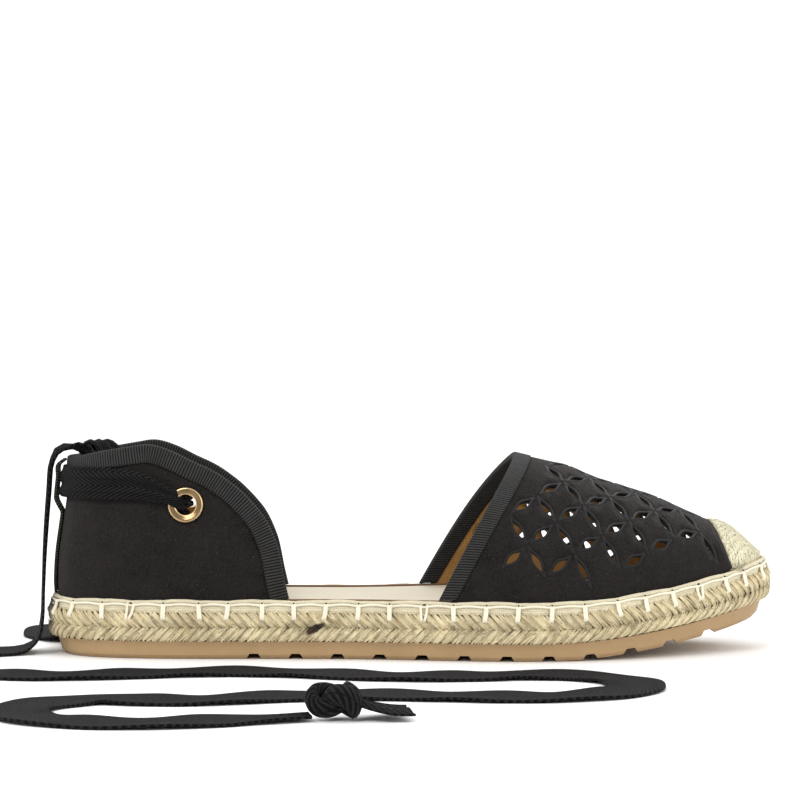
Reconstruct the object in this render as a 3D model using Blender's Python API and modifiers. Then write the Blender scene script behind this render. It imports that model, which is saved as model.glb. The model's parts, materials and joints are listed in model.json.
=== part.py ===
"""Right espadrille: cutwork vamp, jute toe cap, heel counter with eyelets, and loose ankle ties.

The shoe stands on its outsole with the toe along +X and its inner, medial side along +Y.
Metres, +Z up. The origin is on the ground, below the middle of the jute sole.
"""

import math
from collections import namedtuple

import bmesh
import bpy
from mathutils import Matrix, Vector
from mathutils.geometry import delaunay_2d_cdt

# Sole
LENGTH = 0.260
BALL_WIDTH = 0.092
CLEARANCE = 0.0003
INSOLE_CLEARANCE = 0.0006
OUTSOLE_THICKNESS = 0.0063
JUTE_THICKNESS = 0.0095
WELT_HEIGHT = 0.0045
WELT_WALL = 0.0013
WELT_INSET = 0.0015
INSOLE_THICKNESS = 0.0040
INSOLE_CROWN = 0.0008
TOE_SPRING = 0.0128
SPRING_START = 0.69
SPRING_POWER = 1.55
# The top of the sole rises a little less than its bottom, because the rubber thins at the toe.
TOP_SPRING_SHARE = 0.96

# Notches across the tread
NOTCH_COUNT = 12
NOTCH_PITCH = 0.0146
NOTCH_FIRST = 0.282
NOTCH_MOUTH = 0.0053
NOTCH_TOP = 0.0030
NOTCH_DEPTH = 0.0019

# Upper
UPPER_WALL = 0.0018
INSTEP_RISE = 0.0500
THROAT_TOP = 0.643
THROAT_FOOT_LATERAL = 0.530
THROAT_FOOT_MEDIAL = 0.515
BINDING_WIDTH = 0.0055
BINDING_PROUD = 0.0004
CAP_TOP = 0.916
CAP_FOOT = 0.939
CAP_PROUD = 0.0004
COLLAR_RISE = 0.0530

# Petal holes of the vamp, on a lattice of rhombs
PETAL_LENGTH = 0.0082
PETAL_WIDTH = 0.0031
NODE_PITCH = 0.0162
ROW_PITCH = 0.01075
LATTICE_STATION = 0.7208
LATTICE_LEAN = 0.205
PETAL_MARGIN = 0.0026
PETAL_FOOT_MARGIN = 0.0048

# Eyelets
EYELET_STATION = 0.190
EYELET_HEIGHT = 0.0328
EYELET_RADIUS = 0.00625
EYELET_BORE = 0.0035
EYELET_BARREL = 0.0007
EYELET_RIM = 0.0008
# The wall curves under the flat rim, so the rim stands this much further off.
EYELET_SAG = 0.0004

# Tape, folded along the heel, and the strip that it passes under
TAPE_THICKNESS = 0.0010
TAPE_SLACK = 0.0003
TAPE_WIDTH = 0.019
FOLDED_WIDTH = 0.0110
FOLDED_THICKNESS = 0.0019
STRIP_WIDTH = 0.0105
STRIP_THICKNESS = 0.0009
STRIP_SLACK = 0.0002

# Mesh fineness
OUTLINE_STEPS = 34
PANEL_SPACING = 0.0074
TIE_STEP = 0.0105

# Levels, from the ground up, where the shoe is flat
OUTSOLE_TOP = OUTSOLE_THICKNESS
JUTE_FLOOR = OUTSOLE_TOP + CLEARANCE
JUTE_TOP = JUTE_FLOOR + JUTE_THICKNESS
WELT_FLOOR = JUTE_TOP + CLEARANCE
WELT_TOP = WELT_FLOOR + WELT_HEIGHT
UPPER_INSET = WELT_INSET + WELT_WALL + CLEARANCE
INSOLE_INSET = UPPER_INSET + UPPER_WALL + INSOLE_CLEARANCE

LATERAL = -1
MEDIAL = 1

# The outline of the jute sole. Stations are shares of LENGTH from the heel, widths shares of BALL_WIDTH.
OutlineRow = namedtuple("OutlineRow", "station lateral medial")
OUTLINE = (
    OutlineRow(0.00, 0.000, 0.000),
    OutlineRow(0.02, 0.180, 0.180),
    OutlineRow(0.06, 0.272, 0.277),
    OutlineRow(0.12, 0.326, 0.337),
    OutlineRow(0.20, 0.353, 0.359),
    OutlineRow(0.30, 0.364, 0.337),
    OutlineRow(0.42, 0.391, 0.310),
    OutlineRow(0.52, 0.446, 0.364),
    OutlineRow(0.60, 0.489, 0.446),
    OutlineRow(0.66, 0.500, 0.484),
    OutlineRow(0.74, 0.473, 0.500),
    OutlineRow(0.82, 0.402, 0.473),
    OutlineRow(0.90, 0.283, 0.402),
    OutlineRow(0.96, 0.147, 0.304),
    OutlineRow(1.00, -0.087, 0.087),
)

# The last above the welt: rise as a share of INSTEP_RISE, where the ridge runs as a share of BALL_WIDTH,
# and how full the cross-section is, where 2 is an ellipse.
LastRow = namedtuple("LastRow", "station rise ridge fullness")
LAST = (
    LastRow(0.500, 1.200, 0.020, 1.80),
    LastRow(0.580, 1.100, 0.028, 1.80),
    LastRow(0.645, 0.990, 0.035, 1.82),
    LastRow(0.682, 0.945, 0.039, 1.84),
    LastRow(0.715, 0.898, 0.043, 1.86),
    LastRow(0.765, 0.772, 0.049, 1.90),
    LastRow(0.820, 0.648, 0.054, 1.95),
    LastRow(0.865, 0.516, 0.060, 2.00),
    LastRow(0.911, 0.364, 0.066, 2.10),
    LastRow(0.932, 0.322, 0.069, 2.15),
    LastRow(0.949, 0.255, 0.072, 2.20),
    LastRow(0.965, 0.164, 0.075, 2.20),
    LastRow(0.985, 0.048, 0.080, 2.20),
)

# The collar edge, from the middle of the back forward: height as a share of COLLAR_RISE above the welt.
CollarRow = namedtuple("CollarRow", "station height")
COLLAR = (
    CollarRow(0.000, 0.915),
    CollarRow(0.030, 0.920),
    CollarRow(0.070, 0.955),
    CollarRow(0.110, 0.985),
    CollarRow(0.139, 1.000),
    CollarRow(0.168, 0.960),
    CollarRow(0.198, 0.890),
    CollarRow(0.217, 0.850),
    CollarRow(0.232, 0.811),
    CollarRow(0.248, 0.757),
    CollarRow(0.263, 0.698),
    CollarRow(0.278, 0.623),
    CollarRow(0.290, 0.552),
    CollarRow(0.298, 0.490),
    CollarRow(0.306, 0.405),
    CollarRow(0.313, 0.302),
    CollarRow(0.320, 0.125),
    CollarRow(0.326, 0.000),
)

# How far the counter's wall leans in with height, as a share of HEEL_LEAN.
HEEL_LEAN = 0.0042
LeanRow = namedtuple("LeanRow", "height lean")
LEAN = (
    LeanRow(-0.10, 0.00),
    LeanRow(0.00, 0.00),
    LeanRow(0.10, -0.05),
    LeanRow(0.28, 0.08),
    LeanRow(0.48, 0.42),
    LeanRow(0.70, 0.80),
    LeanRow(1.00, 1.00),
)

# The jute braid's side, from its floor up: two rows of strands with a furrow between them.
BraidRow = namedtuple("BraidRow", "height inset")
BRAID_BULGE = 0.0034
BRAID = (
    BraidRow(0.000, 1.000),
    BraidRow(0.060, 0.420),
    BraidRow(0.250, 0.000),
    BraidRow(0.500, 0.260),
    BraidRow(0.750, 0.000),
    BraidRow(0.950, 0.420),
    BraidRow(1.000, 1.000),
)

# The rubber's side, from the ground up: a rounded foot under a slanted wall.
TreadRow = namedtuple("TreadRow", "height inset")
TREAD_SLANT = 0.0058
TREAD = (
    TreadRow(0.000, 1.000),
    TreadRow(0.220, 0.740),
    TreadRow(1.000, 0.480),
)

# The folded tape from an eyelet to the middle of the back: station, height above the welt as a share
# of COLLAR_RISE, width and thickness as shares of the folded tape's.
TapeRow = namedtuple("TapeRow", "station height width thickness")
TAPE = (
    TapeRow(0.161, 0.695, 0.58, 1.30),
    TapeRow(0.148, 0.715, 0.75, 1.20),
    TapeRow(0.125, 0.742, 0.90, 1.05),
    TapeRow(0.100, 0.752, 0.96, 1.00),
    TapeRow(0.070, 0.757, 1.00, 1.00),
    TapeRow(0.040, 0.758, 1.00, 1.00),
    TapeRow(0.015, 0.758, 1.00, 1.00),
    TapeRow(0.000, 0.758, 1.00, 1.00),
)

# How far the back strip stands off the counter, from its foot up: height as a share of COLLAR_RISE,
# stand-off as a share of what clears the tape.
StripRow = namedtuple("StripRow", "height stand_off")
STRIP = (
    StripRow(0.010, 0.10),
    StripRow(0.200, 0.10),
    StripRow(0.420, 0.10),
    StripRow(0.530, 0.22),
    StripRow(0.595, 0.75),
    StripRow(0.640, 1.06),
    StripRow(0.790, 1.06),
    StripRow(0.868, 1.06),
    StripRow(0.908, 0.46),
)

# The free ties: from behind an eyelet up inside the counter, over the collar and down the back. How far
# round from the middle of the back is a share of the way to the eyelet. The height is a share of
# COLLAR_RISE above the welt, or of WELT_TOP below it. The stand-off from the counter's outer surface is
# in tape thicknesses, and the face says which way the tape's outer face looks there.
INWARD = "to the middle of the heel"
OUTWARD = "away from the middle of the heel"
UPWARD = "up"
TieRow = namedtuple("TieRow", "around height out face")
LATERAL_HEEL = (
    TieRow(0.994, 0.619, -5.31, INWARD),
    TieRow(0.898, 0.630, -4.81, INWARD),
    TieRow(0.776, 0.653, -4.67, INWARD),
    TieRow(0.644, 0.687, -5.44, INWARD),
    TieRow(0.499, 0.734, -6.91, INWARD),
    TieRow(0.350, 0.806, -8.64, INWARD),
    TieRow(0.181, 0.881, -7.67, INWARD),
    TieRow(0.096, 0.960, -4.95, INWARD),
    TieRow(0.057, 0.987, -0.73, UPWARD),
    TieRow(0.040, 0.962, 4.02, OUTWARD),
    TieRow(0.030, 0.862, 6.35, OUTWARD),
    TieRow(0.032, 0.700, 6.55, OUTWARD),
    TieRow(0.036, 0.474, 5.84, OUTWARD),
    TieRow(0.041, 0.247, 5.04, OUTWARD),
    TieRow(0.049, 0.021, 5.28, OUTWARD),
    TieRow(0.056, -0.426, 5.79, OUTWARD),
    TieRow(0.060, -0.780, 7.66, OUTWARD),
    TieRow(0.065, -0.943, 12.57, UPWARD),
)
MEDIAL_HEEL = (
    TieRow(0.993, 0.619, -5.24, INWARD),
    TieRow(0.884, 0.636, -5.05, INWARD),
    TieRow(0.766, 0.674, -5.27, INWARD),
    TieRow(0.648, 0.730, -6.10, INWARD),
    TieRow(0.534, 0.806, -6.87, INWARD),
    TieRow(0.438, 0.915, -7.62, INWARD),
    TieRow(0.395, 1.006, -2.33, UPWARD),
    TieRow(0.388, 0.975, 3.77, OUTWARD),
    TieRow(0.388, 0.855, 5.36, OUTWARD),
    TieRow(0.387, 0.700, 5.78, OUTWARD),
    TieRow(0.386, 0.474, 5.41, OUTWARD),
    TieRow(0.385, 0.228, 4.94, OUTWARD),
    TieRow(0.385, -0.043, 5.85, OUTWARD),
    TieRow(0.385, -0.498, 7.20, OUTWARD),
    TieRow(0.384, -0.799, 9.98, OUTWARD),
    TieRow(0.382, -0.947, 15.46, UPWARD),
)
# Then they lie along the ground in loose curves: shares of LENGTH from the middle, and of BALL_WIDTH.
GroundRow = namedtuple("GroundRow", "along across")
LATERAL_GROUND = (
    GroundRow(-0.560, -0.089),
    GroundRow(-0.590, -0.139),
    GroundRow(-0.619, -0.212),
    GroundRow(-0.640, -0.315),
    GroundRow(-0.647, -0.446),
    GroundRow(-0.638, -0.576),
    GroundRow(-0.613, -0.690),
    GroundRow(-0.577, -0.777),
    GroundRow(-0.531, -0.832),
    GroundRow(-0.469, -0.859),
    GroundRow(-0.400, -0.837),
    GroundRow(-0.323, -0.788),
    GroundRow(-0.242, -0.766),
    GroundRow(-0.165, -0.804),
    GroundRow(-0.092, -0.880),
    GroundRow(-0.019, -0.935),
    GroundRow(0.054, -0.935),
    GroundRow(0.123, -0.908),
    GroundRow(0.185, -0.924),
    GroundRow(0.231, -1.005),
    GroundRow(0.256, -1.136),
    GroundRow(0.252, -1.288),
    GroundRow(0.221, -1.413),
    GroundRow(0.169, -1.489),
    GroundRow(0.104, -1.511),
    GroundRow(0.031, -1.484),
    GroundRow(-0.046, -1.440),
    GroundRow(-0.123, -1.435),
    GroundRow(-0.196, -1.478),
    GroundRow(-0.265, -1.538),
    GroundRow(-0.331, -1.543),
    GroundRow(-0.396, -1.505),
    GroundRow(-0.450, -1.598),
    GroundRow(-0.481, -1.739),
    GroundRow(-0.473, -1.902),
    GroundRow(-0.429, -2.027),
    GroundRow(-0.362, -2.087),
    GroundRow(-0.285, -2.071),
    GroundRow(-0.212, -2.016),
    GroundRow(-0.146, -1.989),
)
MEDIAL_GROUND = (
    GroundRow(-0.500, 0.416),
    GroundRow(-0.513, 0.495),
    GroundRow(-0.520, 0.592),
    GroundRow(-0.517, 0.701),
    GroundRow(-0.499, 0.799),
    GroundRow(-0.469, 0.870),
    GroundRow(-0.429, 0.913),
    GroundRow(-0.377, 0.929),
    GroundRow(-0.315, 0.913),
    GroundRow(-0.246, 0.864),
    GroundRow(-0.177, 0.832),
    GroundRow(-0.104, 0.848),
    GroundRow(-0.035, 0.897),
    GroundRow(0.035, 0.935),
    GroundRow(0.104, 0.929),
    GroundRow(0.169, 0.891),
    GroundRow(0.231, 0.880),
    GroundRow(0.296, 0.897),
    GroundRow(0.354, 0.967),
    GroundRow(0.383, 1.103),
    GroundRow(0.375, 1.250),
    GroundRow(0.335, 1.359),
    GroundRow(0.269, 1.413),
    GroundRow(0.196, 1.429),
    GroundRow(0.127, 1.424),
    GroundRow(0.054, 1.386),
    GroundRow(-0.019, 1.359),
    GroundRow(-0.092, 1.370),
    GroundRow(-0.162, 1.413),
    GroundRow(-0.227, 1.462),
    GroundRow(-0.292, 1.473),
    GroundRow(-0.350, 1.418),
    GroundRow(-0.412, 1.435),
    GroundRow(-0.458, 1.522),
    GroundRow(-0.477, 1.663),
    GroundRow(-0.454, 1.804),
    GroundRow(-0.400, 1.880),
    GroundRow(-0.331, 1.891),
    GroundRow(-0.262, 1.853),
)

# The tape is gathered from the eyelet until it is over the collar, and again where it enters the knot.
GatherRow = namedtuple("GatherRow", "distance width thickness")
EYELET_GATHER = (
    GatherRow(0.000, 0.32, 2.2),
    GatherRow(0.010, 0.42, 1.9),
    GatherRow(0.030, 0.50, 1.6),
    GatherRow(0.085, 0.54, 1.6),
    GatherRow(0.120, 0.92, 1.1),
    GatherRow(0.145, 1.00, 1.0),
)
KNOT_GATHER = (
    GatherRow(0.000, 0.42, 1.9),
    GatherRow(0.015, 0.78, 1.2),
    GatherRow(0.035, 1.00, 1.0),
)

# The knot and the tail past it, as shares of their length and greatest width
KNOT_LENGTH = 0.030
KNOT_WIDTH = 0.018
KnotRow = namedtuple("KnotRow", "along width height")
KNOT = (
    KnotRow(0.00, 0.40, 0.16),
    KnotRow(0.10, 0.78, 0.52),
    KnotRow(0.27, 0.90, 0.66),
    KnotRow(0.43, 0.76, 0.52),
    KnotRow(0.54, 0.55, 0.24),
    KnotRow(0.75, 0.84, 0.13),
    KnotRow(1.00, 1.00, 0.09),
)

Finish = namedtuple("Finish", "colour roughness metallic")
RUBBER = Finish((0.40, 0.25, 0.12), 0.55, 0.0)
JUTE = Finish((0.68, 0.62, 0.44), 0.95, 0.0)
CANVAS = Finish((0.72, 0.68, 0.53), 0.90, 0.0)
FOOTBED = Finish((0.76, 0.69, 0.56), 0.60, 0.0)
SUEDE = Finish((0.016, 0.014, 0.015), 0.95, 0.0)
RIBBON = Finish((0.024, 0.024, 0.026), 0.80, 0.0)
COTTON = Finish((0.020, 0.019, 0.023), 0.90, 0.0)
GILT = Finish((0.75, 0.52, 0.26), 0.28, 1.0)


def follow(rows, column, at, warp=lambda value: value):
    """A smooth value of a table's column at a place in its first column, straight past its ends."""
    places = [warp(row[0]) for row in rows]
    values = [getattr(row, column) for row in rows]
    if places[0] > places[-1]:
        places.reverse()
        values.reverse()
    at = min(max(warp(at), places[0]), places[-1])
    slopes = []
    for i in range(len(places)):
        low, high = max(i - 1, 0), min(i + 1, len(places) - 1)
        slopes.append((values[high] - values[low]) / (places[high] - places[low]))
    i = max(k for k in range(len(places) - 1) if k == 0 or places[k] <= at)
    step = places[i + 1] - places[i]
    t = (at - places[i]) / step
    return (
        values[i] * (1 + 2 * t) * (1 - t) ** 2
        + values[i + 1] * t * t * (3 - 2 * t)
        + step * (slopes[i] * t * (1 - t) ** 2 - slopes[i + 1] * t * t * (1 - t))
    )


def station_of(x):
    return x / LENGTH + 0.5


def x_of(station):
    return (station - 0.5) * LENGTH


def turn_of(station):
    """The turn from heel, 0, to toe, pi, in which the outline's widths are smooth at its round ends."""
    return math.acos(min(max(1 - 2 * station, -1), 1))


def spring(x):
    """How far the ground side of the sole has risen at x."""
    share = max(0.0, (station_of(x) - SPRING_START) / (1 - SPRING_START))
    return TOE_SPRING * share**SPRING_POWER


def top_spring(x):
    return TOP_SPRING_SHARE * spring(x)


def outline(turn, side, inset):
    """A point of the sole's outline, moved in from the jute's widest line by inset."""

    def rim(angle):
        column = "lateral" if side == LATERAL else "medial"
        share = follow(OUTLINE, column, (1 - math.cos(angle)) / 2, turn_of)
        return Vector((-LENGTH / 2 * math.cos(angle), side * BALL_WIDTH * share, 0))

    small = 0.002
    along = rim(min(turn + small, math.pi)) - rim(max(turn - small, 0))
    if turn <= small:
        along = Vector((0, side, 0))
    if turn >= math.pi - small:
        along = Vector((0, -side, 0))
    inward = Vector((along.y, -along.x, 0)).normalized() * side
    return rim(turn) + inward * inset


class Edge:
    """One side of the outline at a fixed inset, for reading its y at x and its arc length."""

    FINE = 240

    def __init__(self, side, inset):
        self.side = side
        self.inset = inset
        self.points = [outline(math.pi * i / self.FINE, side, inset) for i in range(self.FINE + 1)]
        self.arcs = [0.0]
        for a, b in zip(self.points, self.points[1:]):
            self.arcs.append(self.arcs[-1] + (b - a).length)

    def y_at(self, x):
        for a, b in zip(self.points, self.points[1:]):
            if a.x <= x <= b.x:
                return a.y + (b.y - a.y) * (x - a.x) / max(b.x - a.x, 1e-9)
        return self.points[0].y if x < self.points[0].x else self.points[-1].y

    def arc_at(self, x):
        for i, (a, b) in enumerate(zip(self.points, self.points[1:])):
            if a.x <= x <= b.x:
                return self.arcs[i] + (b - a).length * (x - a.x) / max(b.x - a.x, 1e-9)
        return 0.0

    def turn_at(self, arc):
        for i in range(self.FINE):
            if self.arcs[i + 1] >= arc:
                part = (arc - self.arcs[i]) / (self.arcs[i + 1] - self.arcs[i])
                return math.pi * (i + part) / self.FINE
        return math.pi


UPPER_EDGE = {side: Edge(side, UPPER_INSET) for side in (LATERAL, MEDIAL)}


def finish_of(name, finish):
    material = bpy.data.materials.get(name) or bpy.data.materials.new(name)
    material.use_nodes = True
    shader = material.node_tree.nodes["Principled BSDF"]
    shader.inputs["Base Color"].default_value = (*finish.colour, 1)
    shader.inputs["Roughness"].default_value = finish.roughness
    shader.inputs["Metallic"].default_value = finish.metallic
    return material


def add_object(name, mesh_builder, finish):
    """A named object from a bmesh, with its material, in the shoe's collection."""
    mesh = bpy.data.meshes.new(name)
    mesh_builder.to_mesh(mesh)
    mesh_builder.free()
    made = bpy.data.objects.new(name, mesh)
    SHOE.objects.link(made)
    mesh.materials.append(finish_of(f"{name} finish", finish))
    return made


def loft(rings, closed_around=True, closed_along=False):
    """A mesh through rings of equally many points."""
    work = bmesh.new()
    grid = [[work.verts.new(point) for point in ring] for ring in rings]
    count = len(grid[0])
    for low, high in zip(grid, grid[1:] + grid[:1] if closed_along else grid[1:]):
        for i in range(count if closed_around else count - 1):
            j = (i + 1) % count
            work.faces.new((low[i], low[j], high[j], high[i]))
    return work, grid


def rounded(made):
    made.data.shade_smooth()
    made.data.set_sharp_from_angle(angle=math.radians(40))
    return made


def sole_ring(inset, level, rise_at):
    """A closed ring round the sole, from the heel along the lateral side and back along the medial."""
    turns = [math.pi * i / OUTLINE_STEPS for i in range(OUTLINE_STEPS + 1)]
    flat = [outline(turn, LATERAL, inset) for turn in turns]
    flat += [outline(turn, MEDIAL, inset) for turn in turns[-2:0:-1]]
    return [Vector((p.x, p.y, level + rise_at(p.x))) for p in flat]


def layer(name, rings, finish):
    """A closed layer of the sole, capped by ladders of faces that run across it."""
    work, grid = loft(rings)
    for ring, upward in ((grid[0], False), (grid[-1], True)):
        for i in range(OUTLINE_STEPS):
            rung = [ring[i], ring[i + 1], ring[-(i + 1) % len(ring)], ring[-i % len(ring)]]
            corners = list(dict.fromkeys(rung))
            work.faces.new(corners if upward else corners[::-1])
    bmesh.ops.recalc_face_normals(work, faces=work.faces)
    return rounded(add_object(name, work, finish))


def build_outsole():
    def rise_at_share(share):
        part = 1 - share * (1 - TOP_SPRING_SHARE)
        return lambda x: part * spring(x)

    rings = [
        sole_ring(row.inset * TREAD_SLANT, row.height * OUTSOLE_THICKNESS, rise_at_share(row.height))
        for row in TREAD
    ]
    sole = layer("outsole", rings, RUBBER)
    cutter = add_object("notch cutter", notch_prisms(), RUBBER)
    SHOE.objects.unlink(cutter)
    CUTTERS.objects.link(cutter)
    cutter.hide_render = True
    cutter.display_type = "WIRE"
    cut = sole.modifiers.new("Notches", "BOOLEAN")
    cut.operation = "DIFFERENCE"
    cut.object = cutter


def notch_prisms():
    """Prisms of trapezoid section across the tread, each turned to the slope of the toe spring."""
    work = bmesh.new()
    half = BALL_WIDTH
    below = NOTCH_DEPTH
    flare = (NOTCH_MOUTH - NOTCH_TOP) / 2
    for i in range(NOTCH_COUNT):
        x = x_of(NOTCH_FIRST) + i * NOTCH_PITCH
        slope = (spring(x + NOTCH_MOUTH) - spring(x - NOTCH_MOUTH)) / (2 * NOTCH_MOUTH)
        place = Matrix.Translation((x, 0, spring(x))) @ Matrix.Rotation(-math.atan(slope), 4, "Y")
        made = bmesh.ops.create_cube(work, size=1)["verts"]
        for vertex in made:
            top = vertex.co.z > 0
            wide = NOTCH_TOP / 2 if top else NOTCH_MOUTH / 2 + flare
            vertex.co.x = math.copysign(wide, vertex.co.x)
            vertex.co.y = math.copysign(half, vertex.co.y)
            vertex.co.z = NOTCH_DEPTH if top else -below
        bmesh.ops.transform(work, matrix=place, verts=made)
    return work


def build_jute():
    rings = [
        sole_ring(row.inset * BRAID_BULGE, JUTE_FLOOR + row.height * JUTE_THICKNESS, top_spring)
        for row in BRAID
    ]
    layer("jute_sole", rings, JUTE)


def build_welt():
    outer, inner = WELT_INSET, WELT_INSET + WELT_WALL
    rings = [
        sole_ring(inset, level, top_spring)
        for inset, level in (
            (outer, WELT_FLOOR),
            (outer, WELT_TOP),
            (inner, WELT_TOP),
            (inner, WELT_FLOOR),
        )
    ]
    work, _ = loft(rings, closed_along=True)
    bmesh.ops.recalc_face_normals(work, faces=work.faces)
    rounded(add_object("welt_strip", work, CANVAS))


def build_insole():
    levels = ((0, 0), (0, INSOLE_THICKNESS - INSOLE_CROWN), (INSOLE_CROWN, INSOLE_THICKNESS))
    rings = [sole_ring(INSOLE_INSET + inset, WELT_FLOOR + level, top_spring) for inset, level in levels]
    layer("insole", rings, FOOTBED)


def last_at(x, side):
    """The last's cross-section on one side at x: base, rise, ridge, half width and fullness."""
    station = station_of(x)
    ridge = BALL_WIDTH * follow(LAST, "ridge", station)
    rise = INSTEP_RISE * follow(LAST, "rise", station)
    wide = max(side * (UPPER_EDGE[side].y_at(x) - ridge), 1e-5)
    return WELT_TOP + top_spring(x), rise, ridge, wide, follow(LAST, "fullness", station)


def last_point(x, side, share):
    """The point of the last at a share of its rise, where a share below 0 is the skirt in the welt."""
    base, rise, ridge, wide, full = last_at(x, side)
    if share < 0:
        return Vector((x, ridge + side * wide, base + share * WELT_HEIGHT))
    out = (1 - min(share, 1) ** full) ** (1 / full)
    return Vector((x, ridge + side * wide * out, base + rise * share))


class Girth:
    """One half of the last's section at x, from the ridge down, for reading points by arc length."""

    SHARES = [math.cos(math.pi / 2 * i / 26) for i in range(26)] + [0.0, -1.0]

    def __init__(self, x, side):
        self.points = [last_point(x, side, share) for share in self.SHARES]
        self.arcs = [0.0]
        for a, b in zip(self.points, self.points[1:]):
            self.arcs.append(self.arcs[-1] + (b - a).length)

    def at(self, arc):
        i = 0
        while i < len(self.arcs) - 2 and self.arcs[i + 1] < arc:
            i += 1
        part = (arc - self.arcs[i]) / (self.arcs[i + 1] - self.arcs[i])
        return self.points[i].lerp(self.points[i + 1], min(part, 1))

    def arc_of(self, share):
        """The arc length from the ridge down to a share of the rise."""
        for i, (a, b) in enumerate(zip(self.SHARES, self.SHARES[1:])):
            if a >= share >= b:
                return self.arcs[i] + (self.arcs[i + 1] - self.arcs[i]) * (a - share) / (a - b)
        return 0.0


GIRTHS = {}


def girth(x, side):
    key = round(x, 5), side
    if key not in GIRTHS:
        GIRTHS[key] = Girth(x, side)
    return GIRTHS[key]


def on_vamp(x, across):
    """The last's surface at x and an arc length from the ridge, negative towards the lateral side."""
    return girth(x, MEDIAL if across >= 0 else LATERAL).at(abs(across))


def throat_x(share, side):
    """Where the throat edge runs at a share of the rise."""
    foot = THROAT_FOOT_LATERAL if side == LATERAL else THROAT_FOOT_MEDIAL
    return x_of(foot + (THROAT_TOP - foot) * max(share, 0))


def cap_x(share, _side):
    """Where the toe cap's edge runs at a share of the rise."""
    return x_of(CAP_FOOT + (CAP_TOP - CAP_FOOT) * max(share, 0))


SHOULDER = [math.sin(math.pi / 2 * i / 12) for i in range(13)]


def last_edge(place, shift, shares):
    """A curve over the last from the lateral foot to the medial, as points on the vamp's flat pattern."""
    points = []
    for side, ordered in ((LATERAL, shares), (MEDIAL, shares[-2::-1])):
        for share in ordered:
            x = place(share, side) + shift
            points.append(Vector((x, side * girth(x, side).arc_of(share))))
    return points


def inside(point, polygon):
    odd = False
    for a, b in zip(polygon, polygon[1:] + polygon[:1]):
        if (a.y > point.y) != (b.y > point.y):
            odd ^= point.x < a.x + (b.x - a.x) * (point.y - a.y) / (b.y - a.y)
    return odd


def distance(point, polygon):
    """How far a point of a flat pattern is from a polygon's sides."""
    best = 1.0
    for a, b in zip(polygon, polygon[1:] + polygon[:1]):
        along = b - a
        part = min(max((point - a).dot(along) / max(along.length_squared, 1e-12), 0), 1)
        best = min(best, (point - a - along * part).length)
    return best


def panel(name, border, holes, place, wall, finish, turned=False):
    """A piece cut from a flat pattern with holes, laid over the last and given its wall, inwards."""
    xs, ys = [p.x for p in border], [p.y for p in border]
    filler = []
    for i in range(1, int((max(xs) - min(xs)) / PANEL_SPACING) + 1):
        for j in range(1, int((max(ys) - min(ys)) / PANEL_SPACING) + 1):
            shift = PANEL_SPACING / 2 * (j % 2)
            spot = Vector((min(xs) + i * PANEL_SPACING + shift, min(ys) + j * PANEL_SPACING))
            if not inside(spot, border) or distance(spot, border) < PANEL_SPACING / 3:
                continue
            if all(not inside(spot, hole) and distance(spot, hole) > PANEL_SPACING / 5 for hole in holes):
                filler.append(spot)
    flat, edges = [], []
    for loop in [border, *holes]:
        start = len(flat)
        edges += [(start + i, start + (i + 1) % len(loop)) for i in range(len(loop))]
        flat += loop
    flat += filler
    spots, _, triangles, *_ = delaunay_2d_cdt(flat, edges, [], 0, 1e-7)
    work = bmesh.new()
    corners = [work.verts.new(place(spot.x, spot.y)) for spot in spots]
    for triangle in triangles:
        middle = sum((spots[i] for i in triangle), Vector((0, 0))) / len(triangle)
        if inside(middle, border) and not any(inside(middle, hole) for hole in holes):
            order = triangle[::-1] if turned else triangle
            work.faces.new([corners[i] for i in order])
    bmesh.ops.delete(work, geom=[v for v in work.verts if not v.link_faces], context="VERTS")
    made = rounded(add_object(name, work, finish))
    solidify(made, wall)
    return made


def solidify(made, wall):
    """A wall behind the faces."""
    shell = made.modifiers.new("Wall", "SOLIDIFY")
    shell.thickness = wall
    shell.offset = -1
    shell.use_even_offset = False


def sheet(name, rows, wall, finish, turned=False):
    """A wall behind a grid of points."""
    work, _ = loft(rows, closed_around=False)
    if turned:
        bmesh.ops.reverse_faces(work, faces=work.faces)
    made = rounded(add_object(name, work, finish))
    solidify(made, wall)
    return made


def petal(centre, slant):
    """The outline of one petal hole: two arcs between its tips."""
    half = 5
    long_way = Vector((math.cos(slant), math.sin(slant)))
    short_way = Vector((-long_way.y, long_way.x))
    points = []
    for edge in (-1, 1):
        for i in range(half):
            part = edge * (2 * i / half - 1)
            bow = edge * PETAL_WIDTH / 2 * (1 - part * part)
            points.append(centre + long_way * part * PETAL_LENGTH / 2 + short_way * bow)
    return points


def petals(border):
    """Petal holes on every side of the lattice's rhombs that clears the vamp's border."""
    node = Vector((x_of(LATTICE_STATION), 0))
    half = Vector((NODE_PITCH / 2, ROW_PITCH))
    reach = 7
    found = []
    for i in range(-2 * reach, 2 * reach + 1):
        for j in range(-reach, reach + 1):
            for side in (-1, 1):
                if (i + j) % 2:
                    continue
                spot = node + Vector((half.x * (i + 0.5), half.y * (j + side / 2)))
                spot.x -= LATTICE_LEAN * abs(spot.y)
                lean = -LATTICE_LEAN * math.copysign(1, spot.y or 1)
                angle = math.atan2(half.y * side, half.x + lean * half.y * side)
                hole = petal(spot, angle)
                if clears(hole, border):
                    found.append(hole)
    return found


def clears(hole, border):
    for point in hole:
        if not inside(point, border) or distance(point, border) < PETAL_MARGIN:
            return False
        side = MEDIAL if point.y > 0 else LATERAL
        foot = girth(point.x, side).arc_of(0)
        if abs(point.y) > foot - PETAL_FOOT_MARGIN:
            return False
    return True


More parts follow.
